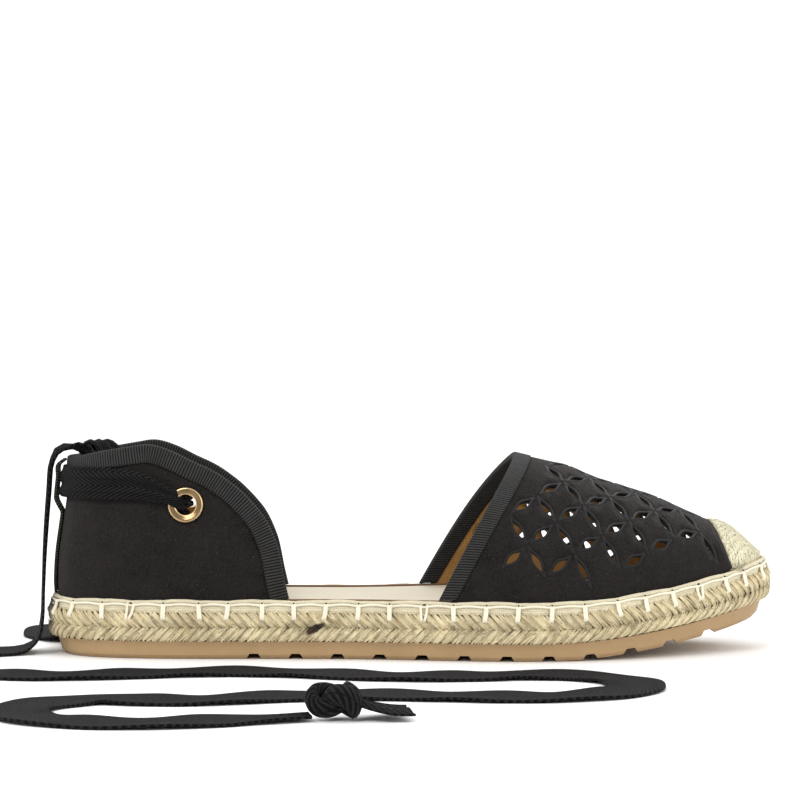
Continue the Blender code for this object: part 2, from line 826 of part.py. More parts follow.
def build_vamp():
    """The vamp's wall with its petals, and the ribbon along its throat."""
    shares = [-1.0, 0.0] + [math.sin(math.pi / 2 * i / 9) for i in range(1, 10)]
    throat = last_edge(throat_x, BINDING_WIDTH + CLEARANCE, shares)
    front = last_edge(cap_x, -2 * CLEARANCE, shares)
    steps = 12
    lateral = foot_line(front[0].x, throat[0].x, LATERAL, steps)
    medial = foot_line(throat[-1].x, front[-1].x, MEDIAL, steps)
    border = throat + medial + front[::-1] + lateral
    border.reverse()
    panel("vamp", border, petals(border), on_vamp, UPPER_WALL, SUEDE)

    def over(x, across, out):
        point = on_vamp(x, across)
        step = 0.0004
        ahead = on_vamp(x + step, across) - point
        beside = on_vamp(x, across + step) - on_vamp(x, across - step)
        return point + ahead.cross(beside).normalized() * out

    proud = BINDING_PROUD
    lowest = CLEARANCE / INSTEP_RISE
    fine = [lowest, *SHOULDER[1:]]
    rows = []
    for share in (0.0, 0.5, 1.0):
        edge = last_edge(throat_x, share * BINDING_WIDTH, fine)
        rows.append([over(p.x, p.y, proud) for p in edge])
    sheet("throat_binding", rows, UPPER_WALL + 2 * proud, RIBBON, turned=True)


def foot_line(start, end, side, steps):
    """The skirt's lower edge between two places, without its ends."""
    points = []
    for i in range(1, steps):
        x = start + (end - start) * i / steps
        points.append(Vector((x, side * girth(x, side).arcs[-1])))
    return points


def cap_height(x, y, inset):
    """The toe cap's outer surface over a place in plan."""
    side = MEDIAL if y > BALL_WIDTH * follow(LAST, "ridge", station_of(x)) else LATERAL
    base, rise, ridge, wide, full = last_at(x, side)
    out = min(abs(y - ridge) / wide, 1.0)
    if inset == 0:
        out = 1.0
    share = (1 - out**full) ** (1 / full)
    return base + rise * share + CAP_PROUD * min(1, 3 * share)


def build_toe_cap():
    """The jute cap: a dome over the toe in plan, closed by a skirt inside the welt."""
    turns = {}
    for side in (LATERAL, MEDIAL):
        edge = UPPER_EDGE[side]
        turns[side] = edge.turn_at(edge.arc_at(x_of(CAP_FOOT)))
    steps = 12
    rim = []
    for side in (LATERAL, MEDIAL):
        first = turns[side]
        way = [outline(first + (math.pi - first) * i / steps, side, UPPER_INSET) for i in range(steps + 1)]
        rim += way if side == LATERAL else way[-2::-1]
    back = []
    for side in (LATERAL, MEDIAL):
        arc = [last_point(cap_x(share, side), side, share) for share in SHOULDER]
        back += arc if side == LATERAL else arc[-2::-1]
    rings = []
    for share in (0.0, 0.06, 0.16, 0.32, 0.52, 0.76, 1.0):
        ring = []
        for i, outer in enumerate(rim):
            inner = back[i]
            spot = outer.lerp(inner, share)
            ring.append(Vector((spot.x, spot.y, cap_height(spot.x, spot.y, share))))
        rings.append(ring)
    skirt = [Vector((p.x, p.y, WELT_FLOOR + top_spring(p.x))) for p in rim]
    work, _ = loft([skirt, *rings], closed_around=False)
    bmesh.ops.remove_doubles(work, verts=work.verts, dist=0.00002)
    made = rounded(add_object("toe_cap", work, JUTE))
    solidify(made, UPPER_WALL + CAP_PROUD)


def heel_point(arc, height, out=0.0):
    """The counter's outer surface at an arc length from the middle of the back and a height above the welt."""
    side = MEDIAL if arc >= 0 else LATERAL
    turn = UPPER_EDGE[side].turn_at(abs(arc))
    inset = UPPER_INSET + HEEL_LEAN * follow(LEAN, "lean", height / COLLAR_RISE) - out
    point = outline(turn, side, inset)
    return Vector((point.x, point.y, WELT_TOP + top_spring(point.x) + height))


def arc_of(station, side):
    edge = UPPER_EDGE[side]
    return 0.0 if station <= 0 else edge.arc_at(max(x_of(station), edge.points[0].x))


def collar_edge(side):
    """The collar edge on one side as arc lengths and heights, spaced evenly along it."""
    knots = [Vector((arc_of(row.station, side), row.height * COLLAR_RISE)) for row in COLLAR]
    path = []
    for i in range(len(knots) - 1):
        before, after = knots[max(i - 1, 0)], knots[min(i + 2, len(knots) - 1)]
        for k in range(8):
            path.append(blend(before, knots[i], knots[i + 1], after, k / 8))
    return spaced([*path, knots[-1]], 20)


def blend(a, b, c, d, t):
    """A point on the smooth curve from b to c."""
    return 0.5 * ((2 * b) + (c - a) * t + (2 * a - 5 * b + 4 * c - d) * t**2 + (3 * b - a - 3 * c + d) * t**3)


def spaced(path, count):
    """The same curve by evenly spaced points."""
    arcs = [0.0]
    for a, b in zip(path, path[1:]):
        arcs.append(arcs[-1] + (b - a).length)
    points, i = [], 0
    for k in range(count + 1):
        goal = arcs[-1] * k / count
        while i < len(path) - 2 and arcs[i + 1] < goal:
            i += 1
        part = (goal - arcs[i]) / max(arcs[i + 1] - arcs[i], 1e-12)
        points.append(path[i].lerp(path[i + 1], min(max(part, 0), 1)))
    return points


def moved_in(path, amount, side_sign):
    """A flat curve moved to one side of its direction."""
    moved = []
    for i, point in enumerate(path):
        along = path[min(i + 1, len(path) - 1)] - path[max(i - 1, 0)]
        normal = Vector((-along.y, along.x)).normalized() * side_sign
        moved.append(point + normal * amount)
    return moved


def build_counter():
    """The heel counter's wall with its eyelet holes, and the ribbon along its collar."""
    edge = collar_edge(LATERAL)
    edge = [Vector((-p.x, p.y)) for p in edge[::-1]] + collar_edge(MEDIAL)[1:]
    lower = moved_in(edge, BINDING_WIDTH + CLEARANCE, -1)
    first, last = (Vector((lower[i].x, -WELT_HEIGHT)) for i in (0, -1))
    steps = 38
    bottom = [first.lerp(last, i / steps) for i in range(steps + 1)]
    lower = [p for p in lower if p.y > CLEARANCE]
    border = bottom + lower[::-1]
    holes = [eyelet_hole(side) for side in (LATERAL, MEDIAL)]
    panel("heel_counter", border, holes, heel_point, UPPER_WALL, SUEDE, turned=True)

    rows = []
    for share in (0.0, 0.5, 1.0):
        strip = moved_in(edge, share * BINDING_WIDTH, -1)
        row = [heel_point(p.x, max(p.y, CLEARANCE), BINDING_PROUD) for p in strip]
        rows.append(row)
    sheet("collar_binding", rows, UPPER_WALL + 2 * BINDING_PROUD, RIBBON)


def eyelet_spot(side):
    return Vector((side * arc_of(EYELET_STATION, side), EYELET_HEIGHT))


def eyelet_hole(side):
    radius = EYELET_BORE + EYELET_BARREL + CLEARANCE
    count = 16
    spot = eyelet_spot(side)
    return [
        spot + radius * Vector((math.cos(2 * math.pi * i / count), math.sin(2 * math.pi * i / count)))
        for i in range(count)
    ]


def build_eyelet(name, side):
    """A rolled eyelet: an outer rim, a barrel through the wall and a washer inside."""
    spot = eyelet_spot(side)
    step = 0.002
    along = heel_point(spot.x + step, spot.y) - heel_point(spot.x - step, spot.y)
    up = heel_point(spot.x, spot.y + step) - heel_point(spot.x, spot.y - step)
    outward = up.cross(along).normalized()
    seat = CLEARANCE + EYELET_SAG
    back = UPPER_WALL + seat
    profile = (
        (EYELET_BORE, -back - EYELET_RIM),
        (EYELET_RADIUS - EYELET_RIM, -back - EYELET_RIM),
        (EYELET_RADIUS - 0.75 * EYELET_RIM, -back),
        (EYELET_BORE + EYELET_BARREL, -back),
        (EYELET_BORE + EYELET_BARREL, seat),
        (EYELET_RADIUS, seat),
        (EYELET_RADIUS - 0.38 * EYELET_RIM, seat + 0.6 * EYELET_RIM),
        (EYELET_RADIUS - 1.50 * EYELET_RIM, seat + EYELET_RIM),
        (EYELET_BORE + 0.50 * EYELET_RIM, seat + 0.8 * EYELET_RIM),
    )
    count = 20
    turned = []
    for i in range(count):
        angle = 2 * math.pi * i / count
        turned.append([Vector((r * math.cos(angle), r * math.sin(angle), h)) for r, h in profile])
    work, _ = loft(turned, closed_along=True)
    bmesh.ops.recalc_face_normals(work, faces=work.faces)
    made = rounded(add_object(name, work, GILT))
    made.location = heel_point(spot.x, spot.y)
    made.rotation_euler = outward.to_track_quat("Z", "Y").to_euler()


def tape_stand_off():
    return BINDING_PROUD + CLEARANCE + TAPE_SLACK


def build_heel_tape():
    """The folded tape, from eyelet to eyelet round the back of the counter."""
    upper_row, lower_row = [], []
    ends = {side: arc_of(TAPE[0].station, side) for side in (LATERAL, MEDIAL)}
    steps = 34
    for i in range(steps + 1):
        arc = -ends[LATERAL] + (ends[LATERAL] + ends[MEDIAL]) * i / steps
        side = MEDIAL if arc >= 0 else LATERAL
        station = station_of(outline(UPPER_EDGE[side].turn_at(abs(arc)), side, UPPER_INSET).x)
        station -= station_of(UPPER_EDGE[side].points[0].x) * (1 - station / TAPE[0].station)
        row = TapeRow(station, *(follow(TAPE, column, station) for column in TapeRow._fields[1:]))
        height = row.height * COLLAR_RISE
        half = row.width * FOLDED_WIDTH / 2
        out = tape_stand_off() + FOLDED_THICKNESS * (row.thickness - 1)
        for target, level in ((upper_row, height + half), (lower_row, height - half)):
            target.append(heel_point(arc, level, out + FOLDED_THICKNESS))
    middle = [a.lerp(b, 0.5) for a, b in zip(upper_row, lower_row)]
    sheet("heel_tape", [lower_row, middle, upper_row], FOLDED_THICKNESS, COTTON, turned=True)


def build_back_strip():
    """The strip up the back, which stands off as a loop where the tape passes under it."""
    clear = tape_stand_off() + FOLDED_THICKNESS + CLEARANCE + STRIP_THICKNESS
    least = CLEARANCE + STRIP_THICKNESS
    rows = []
    for row in STRIP:
        out = max(clear * row.stand_off, least) + STRIP_SLACK
        shares = (-0.5, -0.25, 0.0, 0.25, 0.5)
        rows.append([heel_point(share * STRIP_WIDTH, row.height * COLLAR_RISE, out) for share in shares])
    sheet("back_strip", rows, STRIP_THICKNESS, RIBBON, turned=True)


def face_of(place, face):
    """The way a tie's outer face looks at a place of its route."""
    if face == UPWARD:
        return Vector((0, 0, 1))
    middle = Vector((max(place.x, -LENGTH / 2 + BALL_WIDTH / 3), 0, 0))
    way = (Vector((place.x, place.y, 0)) - middle).normalized()
    return way if face == OUTWARD else -way


def tie_route(side, heel_rows, ground_rows):
    """A tie's route as points, each with the way its outer face looks there."""
    eyelet = arc_of(EYELET_STATION, side)
    level = TAPE_THICKNESS / 2 + CLEARANCE / 3
    route = []
    for row in heel_rows:
        height = row.height * (COLLAR_RISE if row.height > 0 else WELT_TOP)
        place = heel_point(side * row.around * eyelet, height, row.out * TAPE_THICKNESS)
        place.z = max(place.z, level)
        route.append((place, face_of(place, row.face)))
    for row in ground_rows:
        place = Vector((row.along * LENGTH, row.across * BALL_WIDTH, level))
        route.append((place, face_of(place, UPWARD)))
    return route


def tie_line(route):
    """Points spaced along a tie's smooth route, with the way its outer face looks."""
    path = []
    for i in range(len(route) - 1):
        around = [route[max(i - 1, 0)], route[i], route[i + 1], route[min(i + 2, len(route) - 1)]]
        places = [place for place, _ in around]
        (_, face), (_, next_face) = around[1:3]
        pieces = max(1, round((places[2] - places[1]).length / TIE_STEP))
        for k in range(pieces):
            path.append((blend(*places, k / pieces), face.lerp(next_face, k / pieces)))
    return path + [route[-1]]


def build_tie(name, route):
    """One free end of the tape as a flat band along its route."""
    line = tie_line(route)
    gone = [0.0]
    for (a, _), (b, _) in zip(line, line[1:]):
        gone.append(gone[-1] + (b - a).length)
    rings = []
    for i, (point, face) in enumerate(line):
        along = (line[min(i + 1, len(line) - 1)][0] - line[max(i - 1, 0)][0]).normalized()
        across = along.cross(face).normalized()
        face = across.cross(along)
        at_eyelet, at_knot = (EYELET_GATHER, gone[i]), (KNOT_GATHER, gone[-1] - gone[i])
        width = min(follow(rows, "width", at) for rows, at in (at_eyelet, at_knot))
        thickness = max(follow(rows, "thickness", at) for rows, at in (at_eyelet, at_knot))
        half, thick = TAPE_WIDTH / 2 * width, TAPE_THICKNESS / 2 * thickness
        lift = Vector((0, 0, max(0, thick - TAPE_THICKNESS / 2))) if point.z < TAPE_THICKNESS else Vector()
        rings.append([
            point + lift + across * half * a + face * thick * b
            for a, b in ((-1, -1), (1, -1), (1, 1), (-1, 1))
        ])
    work, grid = loft(rings)
    work.faces.new(grid[0][::-1])
    work.faces.new(grid[-1])
    bmesh.ops.recalc_face_normals(work, faces=work.faces)
    rounded(add_object(name, work, COTTON))


def build_knot(name, route):
    """The overhand knot at a tie's end, with the short tail that fans out past it."""
    (before, _), (end, _) = route[-2:]
    along = end - before
    along.z = 0
    along.normalize()
    across = Vector((-along.y, along.x, 0))
    count = 10
    rings = []
    for row in KNOT:
        wide, high = row.width * KNOT_WIDTH / 2, row.height * KNOT_WIDTH / 2
        centre = end + along * (CLEARANCE * 2 + row.along * KNOT_LENGTH)
        centre.z = high + CLEARANCE / 2
        ring = []
        for k in range(count):
            angle = 2 * math.pi * k / count
            ring.append(centre + across * wide * math.cos(angle) + Vector((0, 0, high * math.sin(angle))))
        rings.append(ring)
    work, grid = loft(rings)
    work.faces.new(grid[0][::-1])
    work.faces.new(grid[-1])
    bmesh.ops.recalc_face_normals(work, faces=work.faces)
    rounded(add_object(name, work, COTTON))


def build_shoe():
    build_outsole()
    build_jute()
    build_welt()
    build_insole()
    build_vamp()
    build_toe_cap()
    build_counter()
    build_eyelet("eyelet_lateral", LATERAL)
    build_eyelet("eyelet_medial", MEDIAL)
    build_heel_tape()
    build_back_strip()
    routes = {
        "lateral": tie_route(LATERAL, LATERAL_HEEL, LATERAL_GROUND),
        "medial": tie_route(MEDIAL, MEDIAL_HEEL, MEDIAL_GROUND),
    }
    for side, route in routes.items():
        build_tie(f"tie_{side}", route)
        build_knot(f"knot_{side}", route)


for old in list(bpy.data.objects):
    bpy.data.objects.remove(old)
SHOE = bpy.data.collections.new("Espadrille")
CUTTERS = bpy.data.collections.new("Cutters")
for collection in (SHOE, CUTTERS):
    bpy.context.scene.collection.children.link(collection)
build_shoe()
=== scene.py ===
"""Looks of a right espadrille: cutwork suede, braided jute, ribbed ribbon and loose cotton ties.

The shapes follow the same tables as the part's source, in metres, with the toe along +X and the
medial side along +Y.
"""

import bisect
import json
import math
import random

import bmesh
import bpy
from bpy.props import FloatProperty, FloatVectorProperty, IntProperty, PointerProperty
from mathutils import Matrix, Vector, noise
from mathutils.geometry import delaunay_2d_cdt
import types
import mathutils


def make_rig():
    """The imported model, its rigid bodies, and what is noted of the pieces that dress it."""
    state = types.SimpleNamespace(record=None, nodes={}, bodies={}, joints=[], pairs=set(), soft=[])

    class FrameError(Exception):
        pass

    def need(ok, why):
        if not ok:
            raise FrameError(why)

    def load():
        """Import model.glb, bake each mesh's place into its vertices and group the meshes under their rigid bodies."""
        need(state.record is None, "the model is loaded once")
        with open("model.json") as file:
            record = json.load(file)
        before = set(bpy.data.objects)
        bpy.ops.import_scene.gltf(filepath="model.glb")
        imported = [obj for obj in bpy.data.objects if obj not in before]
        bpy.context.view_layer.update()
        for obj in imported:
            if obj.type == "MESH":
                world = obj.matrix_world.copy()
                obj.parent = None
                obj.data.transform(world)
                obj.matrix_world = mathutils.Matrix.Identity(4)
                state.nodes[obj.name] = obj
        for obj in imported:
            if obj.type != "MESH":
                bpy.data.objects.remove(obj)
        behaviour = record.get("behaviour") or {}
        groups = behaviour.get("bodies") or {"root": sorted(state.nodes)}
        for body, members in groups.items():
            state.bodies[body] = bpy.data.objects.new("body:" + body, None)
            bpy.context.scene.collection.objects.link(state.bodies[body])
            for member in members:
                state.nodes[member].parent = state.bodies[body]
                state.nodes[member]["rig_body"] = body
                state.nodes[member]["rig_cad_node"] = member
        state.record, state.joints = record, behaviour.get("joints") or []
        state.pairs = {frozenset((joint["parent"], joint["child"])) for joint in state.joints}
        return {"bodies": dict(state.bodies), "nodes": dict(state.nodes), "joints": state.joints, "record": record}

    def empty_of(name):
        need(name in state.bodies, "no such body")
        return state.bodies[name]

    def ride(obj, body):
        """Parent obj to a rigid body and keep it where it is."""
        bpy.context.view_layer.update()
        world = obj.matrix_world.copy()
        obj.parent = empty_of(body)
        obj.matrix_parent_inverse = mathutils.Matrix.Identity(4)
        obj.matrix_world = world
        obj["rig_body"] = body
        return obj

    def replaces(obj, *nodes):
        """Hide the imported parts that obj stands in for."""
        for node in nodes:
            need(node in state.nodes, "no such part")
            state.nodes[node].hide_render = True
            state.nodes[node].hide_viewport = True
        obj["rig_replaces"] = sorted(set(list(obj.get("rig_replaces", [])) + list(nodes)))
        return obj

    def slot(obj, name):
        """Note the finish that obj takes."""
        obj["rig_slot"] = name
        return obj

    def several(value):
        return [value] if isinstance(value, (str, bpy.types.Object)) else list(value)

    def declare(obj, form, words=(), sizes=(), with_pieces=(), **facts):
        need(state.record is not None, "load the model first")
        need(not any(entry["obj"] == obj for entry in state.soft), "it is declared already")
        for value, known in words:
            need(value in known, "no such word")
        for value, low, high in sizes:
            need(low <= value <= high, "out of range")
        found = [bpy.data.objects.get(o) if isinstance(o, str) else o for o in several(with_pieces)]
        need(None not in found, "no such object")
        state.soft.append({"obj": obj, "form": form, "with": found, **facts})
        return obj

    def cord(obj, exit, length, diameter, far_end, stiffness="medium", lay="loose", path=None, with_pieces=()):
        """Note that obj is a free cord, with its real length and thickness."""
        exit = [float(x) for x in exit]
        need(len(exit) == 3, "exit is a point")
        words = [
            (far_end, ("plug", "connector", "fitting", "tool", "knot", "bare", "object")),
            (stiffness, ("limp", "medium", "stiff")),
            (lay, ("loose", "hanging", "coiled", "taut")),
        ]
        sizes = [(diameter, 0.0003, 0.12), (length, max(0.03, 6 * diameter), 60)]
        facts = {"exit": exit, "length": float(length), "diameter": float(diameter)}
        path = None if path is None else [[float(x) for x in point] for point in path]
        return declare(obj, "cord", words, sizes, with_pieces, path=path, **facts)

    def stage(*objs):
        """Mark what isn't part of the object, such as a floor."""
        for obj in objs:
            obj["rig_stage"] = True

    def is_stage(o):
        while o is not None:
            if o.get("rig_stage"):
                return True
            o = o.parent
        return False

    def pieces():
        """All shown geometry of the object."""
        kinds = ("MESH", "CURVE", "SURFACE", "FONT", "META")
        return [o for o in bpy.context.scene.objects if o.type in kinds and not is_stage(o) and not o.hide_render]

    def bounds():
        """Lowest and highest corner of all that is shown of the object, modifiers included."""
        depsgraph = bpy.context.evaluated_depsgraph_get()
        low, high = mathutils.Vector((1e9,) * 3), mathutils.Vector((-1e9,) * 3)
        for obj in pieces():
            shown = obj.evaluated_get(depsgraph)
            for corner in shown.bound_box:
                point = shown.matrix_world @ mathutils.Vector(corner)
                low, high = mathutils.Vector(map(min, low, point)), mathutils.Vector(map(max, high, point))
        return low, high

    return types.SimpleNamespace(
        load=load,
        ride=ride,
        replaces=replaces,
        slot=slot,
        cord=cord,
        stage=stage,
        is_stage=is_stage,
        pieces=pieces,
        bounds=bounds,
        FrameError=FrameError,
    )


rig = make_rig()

bl_info = {
    "name": "Espadrille looks",
    "version": (1, 0, 0),
    "blender": (4, 5, 0),
    "location": "3D View > Sidebar > Espadrille",
    "description": "Dresses the espadrille's solids in suede, jute, ribbon and cotton",
    "category": "Object",
}

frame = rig.load()
NODES = frame["nodes"]
CAD_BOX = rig.bounds()

LATERAL = -1
MEDIAL = 1

# The part's own sizes
LENGTH = 0.260
BALL_WIDTH = 0.092
CLEARANCE = 0.0003
OUTSOLE_THICKNESS = 0.0063
JUTE_THICKNESS = 0.0095
WELT_HEIGHT = 0.0045
WELT_WALL = 0.0013
WELT_INSET = 0.0015
TOE_SPRING = 0.0128
SPRING_START = 0.69
SPRING_POWER = 1.55
TOP_SPRING_SHARE = 0.96
UPPER_WALL = 0.0018
INSTEP_RISE = 0.0500
THROAT_TOP = 0.643
THROAT_FOOT_LATERAL = 0.530
THROAT_FOOT_MEDIAL = 0.515
BINDING_WIDTH = 0.0055
BINDING_PROUD = 0.0004
CAP_TOP = 0.916
CAP_FOOT = 0.939
CAP_PROUD = 0.0004
COLLAR_RISE = 0.0530
HEEL_LEAN = 0.0042
PETAL_LENGTH = 0.0082
PETAL_WIDTH = 0.0031
NODE_PITCH = 0.0162
ROW_PITCH = 0.01075
LATTICE_STATION = 0.7208
LATTICE_LEAN = 0.205
PETAL_MARGIN = 0.0026
PETAL_FOOT_MARGIN = 0.0048
EYELET_STATION = 0.190
EYELET_HEIGHT = 0.0328
EYELET_RADIUS = 0.00625
EYELET_BORE = 0.0035
EYELET_BARREL = 0.0007
EYELET_RIM = 0.0008
EYELET_SAG = 0.0004
TAPE_WIDTH = 0.019
FOLDED_WIDTH = 0.0110
FOLDED_THICKNESS = 0.0019
STRIP_WIDTH = 0.0105
STRIP_THICKNESS = 0.0009

JUTE_FLOOR = OUTSOLE_THICKNESS + CLEARANCE
JUTE_TOP = JUTE_FLOOR + JUTE_THICKNESS
WELT_FLOOR = JUTE_TOP + CLEARANCE
WELT_TOP = WELT_FLOOR + WELT_HEIGHT
UPPER_INSET = WELT_INSET + WELT_WALL + CLEARANCE

# Station, lateral and medial half widths of the sole, as shares of its length and ball width
OUTLINE = (
    (0.00, 0.000, 0.000), (0.02, 0.180, 0.180), (0.06, 0.272, 0.277), (0.12, 0.326, 0.337),
    (0.20, 0.353, 0.359), (0.30, 0.364, 0.337), (0.42, 0.391, 0.310), (0.52, 0.446, 0.364),
    (0.60, 0.489, 0.446), (0.66, 0.500, 0.484), (0.74, 0.473, 0.500), (0.82, 0.402, 0.473),
    (0.90, 0.283, 0.402), (0.96, 0.147, 0.304), (1.00, -0.087, 0.087),
)

# Station, rise, ridge and fullness of the last above the welt
LAST = (
    (0.500, 1.200, 0.020, 1.80), (0.580, 1.100, 0.028, 1.80), (0.645, 0.990, 0.035, 1.82),
    (0.682, 0.945, 0.039, 1.84), (0.715, 0.898, 0.043, 1.86), (0.765, 0.772, 0.049, 1.90),
    (0.820, 0.648, 0.054, 1.95), (0.865, 0.516, 0.060, 2.00), (0.911, 0.364, 0.066, 2.10),
    (0.932, 0.322, 0.069, 2.15), (0.949, 0.255, 0.072, 2.20), (0.965, 0.164, 0.075, 2.20),
    (0.985, 0.048, 0.080, 2.20),
)

# Station and height of the collar's edge
COLLAR = (
    (0.000, 0.915), (0.030, 0.920), (0.070, 0.955), (0.110, 0.985), (0.139, 1.000), (0.168, 0.960),
    (0.198, 0.890), (0.217, 0.850), (0.232, 0.811), (0.248, 0.757), (0.263, 0.698), (0.278, 0.623),
    (0.290, 0.552), (0.298, 0.490), (0.306, 0.405), (0.313, 0.302), (0.320, 0.125), (0.326, 0.000),
)

# Height and lean of the counter's wall
LEAN = (
    (-0.10, 0.00), (0.00, 0.00), (0.10, -0.05), (0.28, 0.08), (0.48, 0.42), (0.70, 0.80), (1.00, 1.00),
)

# Station, height, width and thickness of the folded tape round the heel
TAPE = (
    (0.161, 0.695, 0.58, 1.30), (0.148, 0.715, 0.75, 1.20), (0.125, 0.742, 0.90, 1.05),
    (0.100, 0.752, 0.96, 1.00), (0.070, 0.757, 1.00, 1.00), (0.040, 0.758, 1.00, 1.00),
    (0.015, 0.758, 1.00, 1.00), (0.000, 0.758, 1.00, 1.00),
)

# Height and stand-off of the back strip
STRIP = (
    (0.010, 0.10), (0.200, 0.10), (0.420, 0.10), (0.530, 0.22), (0.595, 0.75), (0.640, 1.06),
    (0.790, 1.06), (0.868, 1.06), (0.908, 0.46),
)

# The free ties' routes, as in the part's source: over the heel with x, y, z and the way the outer face
# looks, which is inwards, up or outwards, then x and y on the ground
LATERAL_HEEL = (
    (-0.0803, -0.0210, 0.0537, "in"), (-0.0860, -0.0209, 0.0543, "in"), (-0.0930, -0.0200, 0.0555, "in"),
    (-0.1000, -0.0176, 0.0573, "in"), (-0.1065, -0.0138, 0.0598, "in"), (-0.1106, -0.0092, 0.0636, "in"),
    (-0.1140, -0.0060, 0.0676, "in"), (-0.1174, -0.0038, 0.0718, "in"), (-0.1218, -0.0028, 0.0732, "up"),
    (-0.1267, -0.0024, 0.0719, "out"), (-0.1293, -0.0020, 0.0666, "out"), (-0.1300, -0.0022, 0.0580, "out"),
    (-0.1309, -0.0026, 0.0460, "out"), (-0.1316, -0.0030, 0.0340, "out"), (-0.1320, -0.0036, 0.0220, "out"),
    (-0.1324, -0.0042, 0.0120, "out"), (-0.1342, -0.0048, 0.0046, "out"), (-0.1390, -0.0059, 0.0012, "up"),
)
LATERAL_GROUND = (
    (-0.1455, -0.0082), (-0.1535, -0.0128), (-0.1610, -0.0195), (-0.1663, -0.0290), (-0.1683, -0.0410),
    (-0.1660, -0.0530), (-0.1595, -0.0635), (-0.1500, -0.0715), (-0.1380, -0.0765), (-0.1220, -0.0790),
    (-0.1040, -0.0770), (-0.0840, -0.0725), (-0.0630, -0.0705), (-0.0430, -0.0740), (-0.0240, -0.0810),
    (-0.0050, -0.0860), (0.0140, -0.0860), (0.0320, -0.0835), (0.0480, -0.0850), (0.0600, -0.0925),
    (0.0665, -0.1045), (0.0655, -0.1185), (0.0575, -0.1300), (0.0440, -0.1370), (0.0270, -0.1390),
    (0.0080, -0.1365), (-0.0120, -0.1325), (-0.0320, -0.1320), (-0.0510, -0.1360), (-0.0690, -0.1415),
    (-0.0860, -0.1420), (-0.1030, -0.1385), (-0.1170, -0.1470), (-0.1250, -0.1600), (-0.1230, -0.1750),
    (-0.1115, -0.1865), (-0.0940, -0.1920), (-0.0740, -0.1905), (-0.0550, -0.1855), (-0.0380, -0.1830),
)
MEDIAL_HEEL = (
    (-0.0808, 0.0218, 0.0537, "in"), (-0.0870, 0.0215, 0.0546, "in"), (-0.0935, 0.0202, 0.0566, "in"),
    (-0.0995, 0.0178, 0.0596, "in"), (-0.1046, 0.0150, 0.0636, "in"), (-0.1080, 0.0122, 0.0694, "in"),
    (-0.1124, 0.0154, 0.0742, "up"), (-0.1163, 0.0202, 0.0726, "out"), (-0.1174, 0.0217, 0.0662, "out"),
    (-0.1180, 0.0224, 0.0580, "out"), (-0.1188, 0.0234, 0.0460, "out"), (-0.1195, 0.0243, 0.0330, "out"),
    (-0.1201, 0.0251, 0.0200, "out"), (-0.1209, 0.0262, 0.0105, "out"), (-0.1226, 0.0284, 0.0042, "out"),
    (-0.1260, 0.0327, 0.0011, "up"),
)
MEDIAL_GROUND = (
    (-0.1300, 0.0383), (-0.1335, 0.0455), (-0.1353, 0.0545), (-0.1343, 0.0645), (-0.1298, 0.0735),
    (-0.1220, 0.0800), (-0.1115, 0.0840), (-0.0980, 0.0855), (-0.0820, 0.0840), (-0.0640, 0.0795),
    (-0.0460, 0.0765), (-0.0270, 0.0780), (-0.0090, 0.0825), (0.0090, 0.0860), (0.0270, 0.0855),
    (0.0440, 0.0820), (0.0600, 0.0810), (0.0770, 0.0825), (0.0920, 0.0890), (0.0995, 0.1015),
    (0.0975, 0.1150), (0.0870, 0.1250), (0.0700, 0.1300), (0.0510, 0.1315), (0.0330, 0.1310),
    (0.0140, 0.1275), (-0.0050, 0.1250), (-0.0240, 0.1260), (-0.0420, 0.1300), (-0.0590, 0.1345),
    (-0.0760, 0.1355), (-0.0910, 0.1305), (-0.1070, 0.1320), (-0.1190, 0.1400), (-0.1240, 0.1530),
    (-0.1180, 0.1660), (-0.1040, 0.1730), (-0.0860, 0.1740), (-0.0680, 0.1705),
)

# How the tape is gathered near the eyelet and near its knot: distance, width and thickness
EYELET_GATHER = (
    (0.000, 0.32, 2.2), (0.010, 0.42, 1.9), (0.030, 0.50, 1.6), (0.085, 0.54, 1.6), (0.120, 0.92, 1.1),
    (0.145, 1.00, 1.0),
)
KNOT_GATHER = ((0.000, 0.42, 1.9), (0.015, 0.78, 1.2), (0.035, 1.00, 1.0))

# How high the middle of a tie lies over the ground
TIE_LIFT = 0.0006

# Yarns per metre in the toe cap's weave
CAP_THREADS = 620.0

# Spacing of the tape's chevrons, and the width over which their slant turns and turns back
CHEVRON_PITCH = 0.00125
CHEVRON_BAND = 0.0120

# Spacing of the ribbon's threads, of the satin stitches and of the fine teeth at the rubber's foot
THREAD_PITCH = 0.00045
SATIN_PITCH = 0.00055
TOOTH_PITCH = 0.0011

# How far the suede reaches under its ribbon, and the ribbon's thickness
SUEDE_LAP = 0.0014
RIBBON_WALL = 0.0003

# An upright stitch from the welt down: its share of the stitch's lean, its height and its stand-off
UPRIGHT = (
    (0.0, 0.0029, -0.0003), (0.0, 0.0027, 0.00065), (0.2, 0.0012, 0.00085), (0.5, -0.0004, 0.00150),
    (0.8, -0.0012, 0.00205), (1.0, -0.0018, 0.00200), (1.0, -0.0024, 0.00060),
)

# The two sides by name, with the end of their slots' names
SIDES = (("lateral", LATERAL, ""), ("medial", MEDIAL, "_2"))

# A point inside the heel, from which its walls face away
HEEL_MIDDLE = Vector((-0.08, 0, 0.04))

# Where the photo shows a brown stain on the braid
STAIN = Vector((-0.0352, -0.0362, 0.0112))


